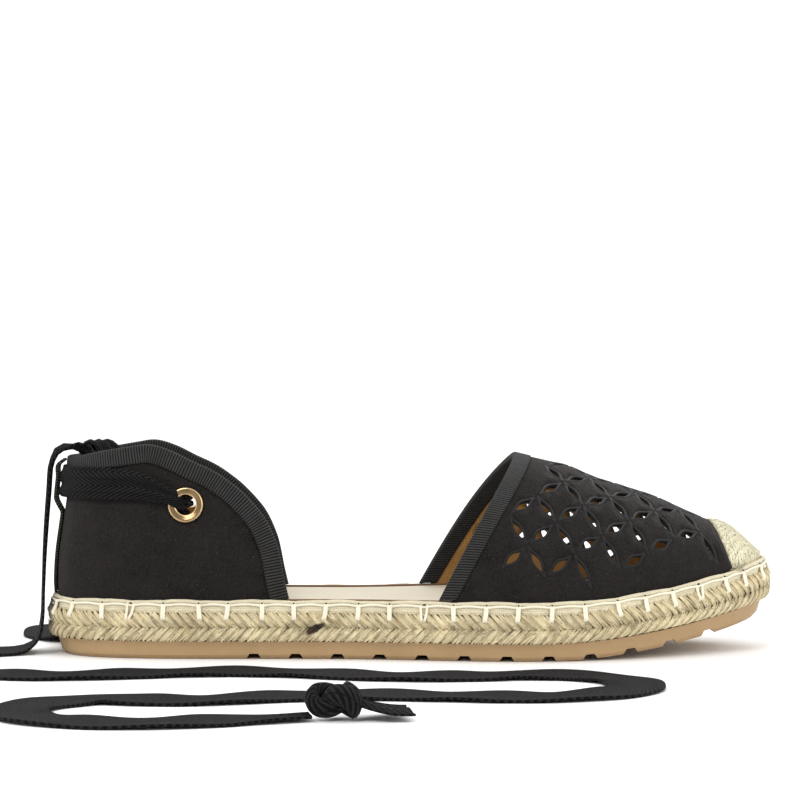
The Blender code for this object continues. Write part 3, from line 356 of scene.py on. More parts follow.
def follow(rows, column, at, warp=lambda value: value):
    """A smooth value of a table's column at a place in its first column."""
    places = [warp(row[0]) for row in rows]
    values = [row[column] for row in rows]
    if places[0] > places[-1]:
        places.reverse()
        values.reverse()
    at = min(max(warp(at), places[0]), places[-1])
    slopes = []
    for i in range(len(places)):
        low, high = max(i - 1, 0), min(i + 1, len(places) - 1)
        slopes.append((values[high] - values[low]) / (places[high] - places[low]))
    i = max(k for k in range(len(places) - 1) if k == 0 or places[k] <= at)
    step = places[i + 1] - places[i]
    t = (at - places[i]) / step
    return (
        values[i] * (1 + 2 * t) * (1 - t) ** 2
        + values[i + 1] * t * t * (3 - 2 * t)
        + step * (slopes[i] * t * (1 - t) ** 2 - slopes[i + 1] * t * t * (1 - t))
    )


def station_of(x):
    return x / LENGTH + 0.5


def x_of(station):
    return (station - 0.5) * LENGTH


def turn_of(station):
    return math.acos(min(max(1 - 2 * station, -1), 1))


def spring(x):
    share = max(0.0, (station_of(x) - SPRING_START) / (1 - SPRING_START))
    return TOE_SPRING * share**SPRING_POWER


def top_spring(x):
    return TOP_SPRING_SHARE * spring(x)


RIM_STEPS = 600


def rim_of(side):
    """Fine points of one side of the outline, each with the way inwards from it."""

    def rim(angle):
        share = follow(OUTLINE, 1 if side == LATERAL else 2, (1 - math.cos(angle)) / 2, turn_of)
        return Vector((-LENGTH / 2 * math.cos(angle), side * BALL_WIDTH * share, 0))

    found = []
    for i in range(RIM_STEPS + 1):
        turn, small = math.pi * i / RIM_STEPS, 0.002
        along = rim(min(turn + small, math.pi)) - rim(max(turn - small, 0))
        if i == 0:
            along = Vector((0, side, 0))
        if i == RIM_STEPS:
            along = Vector((0, -side, 0))
        found.append((rim(turn), Vector((along.y, -along.x, 0)).normalized() * side))
    return found


RIMS = {side: rim_of(side) for side in (LATERAL, MEDIAL)}


def outline(turn, side, inset):
    """A point of the sole's outline, moved in from the jute's widest line by inset."""
    at = min(max(turn / math.pi, 0), 1) * RIM_STEPS
    i = min(int(at), RIM_STEPS - 1)
    (a, inward_a), (b, inward_b) = RIMS[side][i], RIMS[side][i + 1]
    return a.lerp(b, at - i) + inward_a.lerp(inward_b, at - i) * inset


class Track:
    """A polyline that is read by its length."""

    def __init__(self, points, closed=False):
        self.points = [Vector(p) for p in points]
        if closed:
            self.points.append(self.points[0].copy())
        self.arcs = [0.0]
        for a, b in zip(self.points, self.points[1:]):
            self.arcs.append(self.arcs[-1] + (b - a).length)
        self.length = self.arcs[-1]

    def spot(self, arc):
        i = min(max(bisect.bisect_right(self.arcs, arc) - 1, 0), len(self.arcs) - 2)
        part = (arc - self.arcs[i]) / max(self.arcs[i + 1] - self.arcs[i], 1e-12)
        return i, min(max(part, 0), 1)

    def at(self, arc):
        i, part = self.spot(arc)
        return self.points[i].lerp(self.points[i + 1], part)

    def frame_at(self, arc):
        """The point of a closed line at an arc length, the way along it and the way out of it."""
        step = 0.001
        along = (self.at((arc + step) % self.length) - self.at((arc - step) % self.length)).normalized()
        return self.at(arc), along, Vector((along.y, -along.x, 0))


class Edge(Track):
    """One side of the sole's outline at a fixed inset, from the heel to the toe."""

    FINE = 300

    def __init__(self, side, inset):
        super().__init__([outline(math.pi * i / self.FINE, side, inset) for i in range(self.FINE + 1)])

    def step_at(self, x):
        """The step of the polyline that x falls in, and how far along it."""
        if not hasattr(self, "xs"):
            self.xs = [point.x for point in self.points]
        i = min(max(bisect.bisect_right(self.xs, x) - 1, 0), len(self.xs) - 2)
        part = (x - self.xs[i]) / max(self.xs[i + 1] - self.xs[i], 1e-9)
        return i, min(max(part, 0), 1)

    def y_at(self, x):
        i, part = self.step_at(x)
        return self.points[i].y + (self.points[i + 1].y - self.points[i].y) * part

    def arc_at(self, x):
        i, part = self.step_at(x)
        return self.arcs[i] + (self.arcs[i + 1] - self.arcs[i]) * part

    def turn_at(self, arc):
        i, part = self.spot(arc)
        return math.pi * (i + part) / self.FINE


UPPER_EDGE = {side: Edge(side, UPPER_INSET) for side in (LATERAL, MEDIAL)}


def sole_track(inset):
    """The closed outline of the sole at an inset, from the heel along the lateral side."""
    turns = [math.pi * i / 240 for i in range(241)]
    points = [outline(turn, LATERAL, inset) for turn in turns]
    points += [outline(turn, MEDIAL, inset) for turn in turns[-2:0:-1]]
    return Track(points, closed=True)


def last_at(x, side):
    station = station_of(x)
    ridge = BALL_WIDTH * follow(LAST, 2, station)
    rise = INSTEP_RISE * follow(LAST, 1, station)
    wide = max(side * (UPPER_EDGE[side].y_at(x) - ridge), 1e-5)
    return WELT_TOP + top_spring(x), rise, ridge, wide, follow(LAST, 3, station)


def last_point(x, side, share, section=None):
    """The point of the last at a share of its rise, where a share below 0 is the skirt in the welt."""
    base, rise, ridge, wide, full = section or last_at(x, side)
    if share < 0:
        return Vector((x, ridge + side * wide, base + share * WELT_HEIGHT))
    out = (1 - min(share, 1) ** full) ** (1 / full)
    return Vector((x, ridge + side * wide * out, base + rise * share))


GIRTH_SHARES = [math.cos(math.pi / 2 * i / 40) for i in range(40)] + [0.0, -1.0]
GIRTH_STEP = 0.0005
GIRTHS = {}


def girth(i, side):
    """One half of the last's section at a whole step of x, from the ridge down."""
    key = i, side
    if key not in GIRTHS:
        x = i * GIRTH_STEP
        section = last_at(x, side)
        GIRTHS[key] = Track([last_point(x, side, share, section) for share in GIRTH_SHARES])
    return GIRTHS[key]


def girth_pair(x, side):
    at = x / GIRTH_STEP
    i = math.floor(at)
    return girth(i, side), girth(i + 1, side), at - i


def girth_arc(x, side, share):
    """The arc length from the ridge down to a share of the rise."""
    arcs = []
    low, high, part = girth_pair(x, side)
    for track in (low, high):
        for i, (a, b) in enumerate(zip(GIRTH_SHARES, GIRTH_SHARES[1:])):
            if a >= share >= b:
                arcs.append(track.arcs[i] + (track.arcs[i + 1] - track.arcs[i]) * (a - share) / (a - b))
                break
    return arcs[0] + (arcs[1] - arcs[0]) * part


def on_vamp(x, across, out=0.0):
    """The last's surface at x and an arc length from the ridge, negative towards the lateral side."""

    def surface(a, b):
        low, high, part = girth_pair(a, MEDIAL if b >= 0 else LATERAL)
        return low.at(abs(b)).lerp(high.at(abs(b)), part)

    point = surface(x, across)
    if out:
        step = 0.0004
        ahead = surface(x + step, across) - surface(x - step, across)
        beside = surface(x, across + step) - surface(x, across - step)
        point = point + ahead.cross(beside).normalized() * out
    return point


def throat_x(share, side):
    foot = THROAT_FOOT_LATERAL if side == LATERAL else THROAT_FOOT_MEDIAL
    return x_of(foot + (THROAT_TOP - foot) * max(share, 0))


def cap_x(share, _side):
    return x_of(CAP_FOOT + (CAP_TOP - CAP_FOOT) * max(share, 0))


def last_edge(place, shift, shares):
    """A curve over the last from the lateral foot to the medial, on the vamp's flat pattern."""
    points = []
    for side, ordered in ((LATERAL, shares), (MEDIAL, shares[-2::-1])):
        for share in ordered:
            x = place(share, side) + shift
            points.append(Vector((x, side * girth_arc(x, side, share))))
    return points


def heel_point(arc, height, out=0.0):
    """The counter's surface at an arc length from the middle of the back and a height over the welt."""
    side = MEDIAL if arc >= 0 else LATERAL
    turn = UPPER_EDGE[side].turn_at(abs(arc))
    inset = UPPER_INSET + HEEL_LEAN * follow(LEAN, 1, height / COLLAR_RISE) - out
    point = outline(turn, side, inset)
    return Vector((point.x, point.y, WELT_TOP + top_spring(point.x) + height))


def arc_of(station, side):
    edge = UPPER_EDGE[side]
    return 0.0 if station <= 0 else edge.arc_at(max(x_of(station), edge.points[0].x))


def blend(a, b, c, d, t):
    """A point on the smooth curve from b to c."""
    return 0.5 * (
        2 * b + (c - a) * t + (2 * a - 5 * b + 4 * c - d) * t**2 + (3 * b - a - 3 * c + d) * t**3
    )


def smooth_path(knots, pieces=8):
    path = []
    for i in range(len(knots) - 1):
        around = knots[max(i - 1, 0)], knots[i], knots[i + 1], knots[min(i + 2, len(knots) - 1)]
        path += [blend(*around, k / pieces) for k in range(pieces)]
    return path + [knots[-1]]


def collar_track():
    """The collar edge from the lateral front round the back to the medial front, as arcs and heights."""
    halves = {}
    for side in (LATERAL, MEDIAL):
        knots = [Vector((side * arc_of(station, side), height * COLLAR_RISE)) for station, height in COLLAR]
        halves[side] = smooth_path(knots)
    return Track(halves[LATERAL][::-1] + halves[MEDIAL][1:])


def below_collar(collar, arc, depth):
    """A place on the counter's flat pattern, at a depth below the collar's edge."""
    step = 0.0008
    along = collar.at(min(arc + step, collar.length)) - collar.at(max(arc - step, 0))
    return collar.at(arc) - Vector((-along.y, along.x)).normalized() * depth


def rising(steps):
    """Shares up to 1 that come closer together towards it."""
    return [math.sin(math.pi / 2 * i / steps) for i in range(1, steps + 1)]


def inside(point, polygon):
    odd = False
    for a, b in zip(polygon, polygon[1:] + polygon[:1]):
        if (a.y > point.y) != (b.y > point.y):
            odd ^= point.x < a.x + (b.x - a.x) * (point.y - a.y) / (b.y - a.y)
    return odd


def distance(point, polygon):
    best = 1.0
    for a, b in zip(polygon, polygon[1:] + polygon[:1]):
        along = b - a
        part = min(max((point - a).dot(along) / max(along.length_squared, 1e-12), 0), 1)
        best = min(best, (point - a - along * part).length)
    return best


# Shader helpers


class Paint:
    """Adds nodes to one tree and links them."""

    def __init__(self, tree):
        self.tree = tree

    def add(self, kind, settings=None, **inputs):
        made = self.tree.nodes.new(kind)
        for name, value in (settings or {}).items():
            setattr(made, name, value)
        for name, value in inputs.items():
            self.put(made, name.replace("_", " "), value)
        return made

    def put(self, made, name, value):
        socket = made.inputs[int(name[2:])] if name.startswith("n ") else made.inputs[name]
        if isinstance(value, bpy.types.NodeSocket):
            self.tree.links.new(value, socket)
        elif isinstance(value, bpy.types.Node):
            self.tree.links.new(value.outputs[0], socket)
        elif socket.type == "RGBA" and len(value) == 3:
            socket.default_value = (*value, 1)
        else:
            socket.default_value = value

    def math(self, operation, *values):
        made = self.add("ShaderNodeMath", {"operation": operation})
        for i, value in enumerate(values):
            self.put(made, f"n {i}", value)
        return made.outputs[0]

    def mix(self, factor, low, high, kind="MIX"):
        made = self.add("ShaderNodeMix", {"data_type": "RGBA", "blend_type": kind})
        for index, value in ((0, factor), (6, low), (7, high)):
            self.put(made, f"n {index}", value)
        return made.outputs[2]

    def noise(self, vector, scale, detail=2.0, roughness=0.5):
        made = self.add("ShaderNodeTexNoise", Scale=scale, Detail=detail, Roughness=roughness)
        self.put(made, "Vector", vector)
        return made.outputs["Fac"]

    def span(self, value, low, high, to_low=0.0, to_high=1.0):
        made = self.add("ShaderNodeMapRange")
        for i, entry in enumerate((value, low, high, to_low, to_high)):
            self.put(made, f"n {i}", entry)
        return made.outputs[0]

    def scaled(self, vector, scale, turn=(0, 0, 0)):
        made = self.add("ShaderNodeMapping")
        made.inputs["Scale"].default_value = scale
        made.inputs["Rotation"].default_value = turn
        self.put(made, "Vector", vector)
        return made.outputs[0]

    def split(self, vector):
        made = self.add("ShaderNodeSeparateXYZ")
        self.put(made, "Vector", vector)
        return made.outputs

    def bump(self, height, distance, strength):
        made = self.add("ShaderNodeBump")
        made.inputs["Distance"].default_value = distance
        made.inputs["Strength"].default_value = strength
        self.put(made, "Height", height)
        return made.outputs[0]

    def times(self, value, factor):
        return self.math("MULTIPLY", value, factor)

    def plus(self, value, *shares):
        """A value with shares of others added to it."""
        for other, share in shares:
            value = self.math("ADD", value, self.times(other, share))
        return value

    def sine(self, value, period):
        return self.math("SINE", self.times(value, 2 * math.pi / period))

    def ridges(self, value, pitch=1.0):
        """Rounded ridges along a value, with sharp furrows between them."""
        return self.math("ABSOLUTE", self.math("SINE", self.times(value, math.pi / pitch)))

    def grouped(self, name, inputs, outputs, fill, *values):
        """The outputs of a shared node group that is given these values."""
        made = self.add("ShaderNodeGroup")
        made.node_tree = group(name, inputs, outputs, fill)
        for i, value in enumerate(values):
            self.put(made, f"n {i}", value)
        return made.outputs[:]


class Finish(Paint):
    """Paint for a new material, with its shader and its coordinates."""

    def __init__(self, name, roughness, metallic=0.0, sheen=0.0, specular=0.5):
        self.material = bpy.data.materials.new(name)
        self.material.use_nodes = True
        super().__init__(self.material.node_tree)
        self.shader = self.tree.nodes["Principled BSDF"]
        self.shader.inputs["Roughness"].default_value = roughness
        self.shader.inputs["Metallic"].default_value = metallic
        self.shader.inputs["Sheen Weight"].default_value = sheen
        self.shader.inputs["Sheen Roughness"].default_value = 0.45
        self.shader.inputs["Specular IOR Level"].default_value = specular
        where = self.add("ShaderNodeTexCoord").outputs
        self.place, self.chart = where["Object"], where["UV"]

    def done(self, colour, height, depth, strength):
        """The material, with its colour and its relief linked."""
        self.put(self.shader, "Base Color", colour)
        self.put(self.shader, "Normal", self.bump(height, depth, strength))
        return self.material


FLOAT, VECTOR = "NodeSocketFloat", "NodeSocketVector"


def group(name, inputs, outputs, fill):
    """A shader node group with named float and vector sockets, made once."""
    made = bpy.data.node_groups.get(name)
    if made:
        return made
    made = bpy.data.node_groups.new(name, "ShaderNodeTree")
    for label, kind, start in inputs:
        socket = made.interface.new_socket(name=label, in_out="INPUT", socket_type=kind)
        if start is not None:
            socket.default_value = start
    for label, kind in outputs:
        made.interface.new_socket(name=label, in_out="OUTPUT", socket_type=kind)
    paint = Paint(made)
    entry = made.nodes.new("NodeGroupInput")
    leave = made.nodes.new("NodeGroupOutput")
    for label, value in fill(paint, entry.outputs).items():
        paint.put(leave, label, value)
    return made


def woven(paint, entry):
    """Plain weave: over-and-under threads, with their height and a mask of the gaps between them."""
    x, y, _ = paint.split(entry["Vector"])
    wobble = paint.noise(entry["Vector"], 900.0, 2.0)
    rows = paint.plus(paint.times(y, entry["Threads"]), (wobble, entry["Wobble"]))
    lines = paint.plus(paint.times(x, entry["Threads"]), (wobble, entry["Wobble"]))
    whole = paint.math("ADD", paint.math("FLOOR", rows), paint.math("FLOOR", lines))
    odd = paint.math("ABSOLUTE", paint.math("MODULO", whole, 2.0))
    weft, warp = paint.ridges(rows), paint.ridges(lines)
    over = paint.times(paint.math("POWER", weft, 0.6), paint.math("POWER", warp, 0.35))
    under = paint.times(paint.math("POWER", warp, 0.6), paint.math("POWER", weft, 0.35))
    height = paint.add("ShaderNodeMix", {"data_type": "FLOAT"})
    for index, value in ((0, odd), (2, over), (3, under)):
        paint.put(height, f"n {index}", value)
    return {"Height": height.outputs[0], "Gap": paint.span(height.outputs[0], 0.05, 0.5, 1.0, 0.0)}


def weave(paint, vector, per_metre, wobble=0.2):
    inputs = (("Vector", VECTOR, None), ("Threads", FLOAT, 1000.0), ("Wobble", FLOAT, 0.2))
    outputs = (("Height", FLOAT), ("Gap", FLOAT))
    return paint.grouped("Plain weave", inputs, outputs, woven, vector, per_metre, wobble)


def worn(paint, entry):
    """Blotches and fine fibres that lighten or darken a colour."""
    blotch = paint.noise(entry["Vector"], entry["Size"], 4.0, 0.6)
    fibre = paint.noise(paint.scaled(entry["Vector"], (6, 6, 6)), entry["Size"], 3.0, 0.7)
    tone = paint.plus(paint.times(blotch, 0.65), (fibre, 0.35))
    return {"Tone": paint.span(tone, 0.32, 0.68), "Fibre": fibre}


def wear(paint, size):
    inputs = (("Vector", VECTOR, None), ("Size", FLOAT, 60.0))
    outputs = (("Tone", FLOAT), ("Fibre", FLOAT))
    return paint.grouped("Uneven cloth", inputs, outputs, worn, paint.place, size)


def shade(colour, factor):
    return [min(c * factor, 1) for c in colour]


def tones(colour, spread):
    """A darker and a lighter colour round one."""
    return shade(colour, 1 - spread), shade(colour, 1 + spread)


def suede_finish(name, colour):
    """Brushed nap: soft patches where it lies the other way, fine fibres and a little lint."""
    paint = Finish(name, 0.95, sheen=0.16, specular=0.08)
    paint.shader.inputs["Sheen Tint"].default_value = (0.60, 0.56, 0.54, 1)
    tone, fibre = wear(paint, 110.0)
    patch = paint.span(paint.noise(paint.place, 42.0, 3.0, 0.55), 0.36, 0.64)
    nap = paint.span(paint.noise(paint.place, 1500.0, 3.0, 0.7), 0.36, 0.66)
    lint = paint.span(paint.noise(paint.place, 2100.0, 1.0), 0.735, 0.77)
    base = paint.mix(tone, shade(colour, 0.45), shade(colour, 1.45))
    base = paint.mix(paint.times(patch, 0.40), base, shade(colour, 2.0))
    base = paint.mix(paint.times(nap, 0.55), base, shade(colour, 3.0))
    base = paint.mix(paint.times(lint, 0.55), base, [0.13, 0.12, 0.11])
    return paint.done(base, paint.plus(paint.times(nap, 0.5), (fibre, 0.9)), 0.00026, 0.9)


def cloth_finish(name, colour, per_metre, depth=0.00012, charted=False):
    """Plain-woven cloth with painted shade in the gaps between its threads."""
    paint = Finish(name, 0.92, sheen=0.15, specular=0.25)
    height, gap = weave(paint, paint.chart if charted else paint.place, per_metre)
    tone, fibre = wear(paint, 90.0)
    base = paint.mix(tone, *tones(colour, 0.12))
    # Painted shade: the gaps between the threads are darkened.
    base = paint.mix(paint.times(gap, 0.5), base, shade(colour, 0.55))
    return paint.done(base, paint.plus(height, (fibre, 0.5)), depth, 0.8)


def ribbed_finish(name, colour, pitch):
    """Grosgrain ribbon: rounded ribs across its width, with painted shade in the furrows between them. Its UV map is
    in metres, along and across.
    """
    paint = Finish(name, 0.75, sheen=0.04, specular=0.2)
    along, across, _ = paint.split(paint.chart)
    waver = paint.times(paint.noise(paint.place, 700.0, 2.0), pitch * 0.25)
    wave = paint.ridges(paint.math("ADD", along, waver), pitch)
    tone, fibre = wear(paint, 160.0)
    base = paint.mix(tone, *tones(colour, 0.25))
    # Painted shade: the furrows between the ribs go nearly black.
    base = paint.mix(paint.span(wave, 0.40, 0.90), shade(colour, 0.04), base)
    height = paint.plus(wave, (paint.ridges(across, THREAD_PITCH), 0.10), (fibre, 0.2))
    return paint.done(base, height, 0.00042, 1.0)


def herringbone_finish(name, colour):
    """Twill tape whose slant turns round in bands across its width, with painted shade between its ridges and along
    the turns. Its UV map is in metres.
    """
    paint = Finish(name, 0.88, sheen=0.05, specular=0.12)
    paint.shader.inputs["Sheen Tint"].default_value = (0.6, 0.58, 0.6, 1)
    along, across, _ = paint.split(paint.chart)
    slant = paint.math("PINGPONG", across, CHEVRON_BAND / 2)
    line = paint.plus(paint.times(along, 0.55), (slant, 0.85))
    ridge = paint.span(paint.sine(line, CHEVRON_PITCH), -0.3, 0.8)
    from_turn = paint.math("PINGPONG", paint.math("ADD", across, CHEVRON_BAND / 4), CHEVRON_BAND / 4)
    furrow = paint.span(from_turn, 0.0, CHEVRON_BAND * 0.03)
    crossing = paint.sine(paint.math("SUBTRACT", slant, along), CHEVRON_PITCH * 0.7)
    tone, fibre = wear(paint, 140.0)
    base = paint.mix(tone, *tones(colour, 0.30))
    # Painted shade between the twill's ridges and along the lines where the slant turns.
    base = paint.mix(paint.times(ridge, furrow), shade(colour, 0.10), base)
    height = paint.plus(ridge, (crossing, 0.2), (furrow, 0.4), (fibre, 0.5))
    return paint.done(base, height, 0.00034, 1.0)


def jute_finish(name, colour):
    """Coarse fibres along a strand, with painted shade in the grooves between them, and flecks. Its UV map runs round
    and along the strand.
    """
    paint = Finish(name, 0.95, sheen=0.1, specular=0.12)
    shifted = paint.add("ShaderNodeVectorMath", {"operation": "ADD"})
    paint.put(shifted, "n 0", paint.chart)
    paint.put(shifted, "n 1", paint.scaled(paint.place, (9, 9, 9)))
    fibre = paint.noise(paint.scaled(shifted.outputs[0], (14.0, 1.6, 1.0)), 1.6, 5.0, 0.75)
    tone = paint.span(paint.noise(paint.place, 190.0, 4.0, 0.65), 0.36, 0.64)
    fleck = paint.span(paint.noise(paint.place, 820.0, 2.0, 0.6), 0.655, 0.70)
    grooves = paint.span(fibre, 0.30, 0.60, 1.0, 0.0)
    deep = [colour[0] * 0.52, colour[1] * 0.45, colour[2] * 0.36]
    base = paint.mix(tone, shade(colour, 0.74), shade(colour, 1.08))
    # Painted shade: the grooves between the fibres take a darker colour.
    base = paint.mix(paint.times(grooves, 0.6), base, deep)
    base = paint.mix(paint.times(fleck, 0.75), base, [0.17, 0.11, 0.06])
    # A patch of the lower row is stained, with a lighter smear above it.
    for size, turn, shift, tint, most in (
        ((0.0038, 0.0200, 0.0014), -0.50, Vector((0, 0, 0)), [0.036, 0.024, 0.017], 0.97),
        ((0.0060, 0.0200, 0.0008), 0.42, Vector((0.0050, 0, 0.0030)), [0.300, 0.180, 0.080], 0.55),
    ):
        spot = paint.add("ShaderNodeMapping", {"vector_type": "TEXTURE"})
        spot.inputs["Location"].default_value = STAIN + shift
        spot.inputs["Rotation"].default_value = (0, turn, 0)
        spot.inputs["Scale"].default_value = size
        paint.put(spot, "Vector", paint.place)
        far = paint.add("ShaderNodeVectorMath", {"operation": "LENGTH"})
        paint.put(far, "n 0", spot.outputs[0])
        ragged = paint.plus(far.outputs["Value"], (fibre, 0.6))
        base = paint.mix(paint.span(ragged, 1.05, 1.40, most, 0.0), base, tint)
    return paint.done(base, fibre, 0.0007, 1.0)


def rubber_finish(name, colour):
    """Moulded rubber with fine moulding lines up its sides, darker in a band along the ground."""
    paint = Finish(name, 0.55, specular=0.35)
    x, _, z = paint.split(paint.place)
    tone, fibre = wear(paint, 45.0)
    low = paint.span(z, 0.0, 0.0022, 1.0, 0.0)
    base = paint.mix(tone, *tones(colour, 0.08))
    # Darker in a band next to the ground.
    base = paint.mix(paint.times(low, 0.35), base, shade(colour, 0.6))
    paint.put(paint.shader, "Roughness", paint.span(fibre, 0.3, 0.7, 0.45, 0.7))
    teeth = paint.times(paint.sine(x, TOOTH_PITCH), paint.times(low, 0.5))
    return paint.done(base, paint.plus(teeth, (fibre, 0.5)), 0.00012, 0.7)


def gilt_finish(name, colour):
    """Polished metal with fine scratches."""
    paint = Finish(name, 0.25, metallic=1.0)
    scratch = paint.noise(paint.scaled(paint.place, (1, 1, 6)), 900.0, 3.0, 0.6)
    paint.put(paint.shader, "Roughness", paint.span(scratch, 0.3, 0.7, 0.12, 0.24))
    return paint.done(paint.mix(scratch, *tones(colour, 0.05)), scratch, 0.00003, 0.4)


def footbed_finish(name, colour):
    """Smooth cover with a fine grain."""
    paint = Finish(name, 0.6, specular=0.35)
    tone, fibre = wear(paint, 40.0)
    grain = paint.noise(paint.place, 1400.0, 3.0, 0.6)
    return paint.done(paint.mix(tone, *tones(colour, 0.05)), paint.plus(grain, (fibre, 0.4)), 0.0001, 0.5)


def satin_finish(name, colour):
    """Close stitches laid across a rim, with painted shade between them. Its UV map is in metres, along and across."""
    paint = Finish(name, 0.5, specular=0.40)
    along, across, _ = paint.split(paint.chart)
    thread = paint.ridges(paint.plus(along, (across, 0.25)), SATIN_PITCH)
    tone, _ = wear(paint, 260.0)
    # Painted shade: the lines between the stitches are darkened.
    base = paint.mix(thread, shade(colour, 0.2), paint.mix(tone, *tones(colour, 0.5)))
    return paint.done(base, thread, 0.00022, 1.0)


def thread_finish(name, colour):
    """Twisted thread."""
    paint = Finish(name, 0.75, sheen=0.2, specular=0.3)
    tone, fibre = wear(paint, 300.0)
    twist = paint.noise(paint.scaled(paint.place, (1, 1, 3), (0.5, 0.7, 0)), 1500.0, 2.0)
    return paint.done(paint.mix(tone, *tones(colour, 0.07)), paint.math("ADD", twist, fibre), 0.00016, 0.8)


def cap_finish(name, colour):
    """Loose coarse weave of jute yarns with painted shade in the gaps between them, and flecks."""
    paint = Finish(name, 0.95, sheen=0.1, specular=0.12)
    height, gap = weave(paint, paint.scaled(paint.chart, (1, 1, 1), (0, 0, 0.6)), CAP_THREADS, 1.3)
    tone, _ = wear(paint, 200.0)
    hair = paint.noise(paint.scaled(paint.place, (1, 3, 1)), 1300.0, 4.0, 0.7)
    patchy = paint.span(paint.noise(paint.place, 420.0, 2.0), 0.40, 0.60, 0.15, 1.0)
    fleck = paint.span(paint.noise(paint.place, 1050.0, 2.0, 0.6), 0.60, 0.64)
    deep = [colour[0] * 0.42, colour[1] * 0.34, colour[2] * 0.24]
    base = paint.mix(tone, shade(colour, 0.92), shade(colour, 1.16))
    # Painted shade: the gaps between the yarns are darkened, more in some patches than in others.
    base = paint.mix(paint.times(paint.times(gap, patchy), 0.7), base, deep)
    base = paint.mix(paint.times(fleck, 0.8), base, [0.13, 0.095, 0.06])
    base = paint.mix(paint.span(hair, 0.62, 0.80, 0.0, 0.4), base, shade(colour, 0.6))
    return paint.done(base, paint.plus(height, (hair, 0.8)), 0.0008, 1.0)


# Piece helpers


def piece(name, work, materials, slot_name, *replaced):
    """A named object from a bmesh that rides on the shoe."""
    mesh = bpy.data.meshes.new(name)
    work.to_mesh(mesh)
    work.free()
    made = bpy.data.objects.new(name, mesh)
    bpy.context.scene.collection.objects.link(made)
    for material in materials:
        mesh.materials.append(material)
    mesh.shade_smooth()
    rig.ride(made, "root")
    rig.slot(made, slot_name)
    if replaced:
        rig.replaces(made, *replaced)
    return made


def sheet_grid(place, columns, rows, wide=1.0, high=1.0, closed=False):
    """A grid laid over place(u, v), with a UV map in metres."""
    work = bmesh.new()
    bmesh.ops.create_grid(work, x_segments=columns, y_segments=rows, size=0.5)
    layer = work.loops.layers.uv.new("UVMap")
    for face in work.faces:
        for loop in face.loops:
            loop[layer].uv = ((loop.vert.co.x + 0.5) * wide, (loop.vert.co.y + 0.5) * high)
    for vertex in work.verts:
        vertex.co = place(min(max(vertex.co.x + 0.5, 0), 1), min(max(vertex.co.y + 0.5, 0), 1))
    if closed:
        bmesh.ops.remove_doubles(work, verts=work.verts, dist=0.000005)
    return work


def walled(made, thickness, offset=-1.0, inner=0):
    """A wall behind a sheet, whose back takes the material with the index inner."""
    wall = made.modifiers.new("Wall", "SOLIDIFY")
    wall.thickness = thickness
    wall.offset = offset
    wall.use_even_offset = False
    wall.material_offset = inner


def threads(name, paths, radius, material, slot_name, resolution=2):
    """Round threads along paths, as one mesh."""
    curve = bpy.data.curves.new(name + " line", "CURVE")
    curve.dimensions = "3D"
    curve.bevel_depth = radius
    curve.bevel_resolution = resolution
    curve.use_fill_caps = True
    for path in paths:
        spline = curve.splines.new("POLY")
        spline.points.add(len(path) - 1)
        for point, spot in zip(spline.points, path):
            point.co = (*spot, 1)
    holder = bpy.data.objects.new(name + " line", curve)
    bpy.context.scene.collection.objects.link(holder)
    bpy.context.view_layer.update()
    mesh = bpy.data.meshes.new_from_object(holder)
    bpy.data.objects.remove(holder)
    work = bmesh.new()
    work.from_mesh(mesh)
    bpy.data.meshes.remove(mesh)
    return piece(name, work, [material], slot_name)


def cut_panel(border, holes, place, spacing):
    """A piece cut from a flat pattern with holes and laid over the last, with the pattern as its UV map."""
    xs, ys = [p.x for p in border], [p.y for p in border]
    centres = [(sum(hole, Vector((0, 0))) / len(hole), hole) for hole in holes]
    filler = []
    for i in range(1, int((max(xs) - min(xs)) / spacing) + 1):
        for j in range(1, int((max(ys) - min(ys)) / spacing) + 1):
            spot = Vector((min(xs) + (i + 0.5 * (j % 2)) * spacing, min(ys) + j * spacing))
            if not inside(spot, border) or distance(spot, border) < spacing / 2:
                continue
            near = [hole for centre, hole in centres if (centre - spot).length < PETAL_LENGTH]
            if all(not inside(spot, hole) and distance(spot, hole) > spacing / 3 for hole in near):
                filler.append(spot)
    flat, edges = [], []
    for loop in [border, *holes]:
        first = len(flat)
        edges += [(first + i, first + (i + 1) % len(loop)) for i in range(len(loop))]
        flat += loop
    spots, _, triangles, *_ = delaunay_2d_cdt(flat + filler, edges, [], 0, 1e-8)
    work = bmesh.new()
    layer = work.loops.layers.uv.new("UVMap")
    corners = [work.verts.new(place(spot.x, spot.y)) for spot in spots]
    for triangle in triangles:
        middle = sum((spots[i] for i in triangle), Vector((0, 0))) / len(triangle)
        near = [hole for centre, hole in centres if (centre - middle).length < PETAL_LENGTH]
        if inside(middle, border) and not any(inside(middle, hole) for hole in near):
            face = work.faces.new([corners[i] for i in triangle])
            for loop, i in zip(face.loops, triangle):
                loop[layer].uv = spots[i]
    bmesh.ops.delete(work, geom=[v for v in work.verts if not v.link_faces], context="VERTS")
    return work


def aim_outwards(work, middle):
    """Turns a sheet's faces away from a point inside the shoe."""
    work.normal_update()
    total = sum(
        (face.calc_center_median() - middle).dot(face.normal) * face.calc_area() for face in work.faces
    )
    if total < 0:
        bmesh.ops.reverse_faces(work, faces=work.faces)
    return work


def srgb(red, green, blue):
    """A screen colour as the linear values that shaders use."""
    return tuple(
        ((c / 255 + 0.055) / 1.055) ** 2.4 if c > 10 else c / 255 / 12.92 for c in (red, green, blue)
    )


def colour_setting(label, words, start_colour):
    return FloatVectorProperty(
        name=label, description=words, subtype="COLOR", size=3, min=0, max=1, default=start_colour
    )


def length_setting(label, words, start_length):
    return FloatProperty(
        name=label, description=words, subtype="DISTANCE", unit="LENGTH", min=0.0001, precision=5,
        default=start_length,
    )


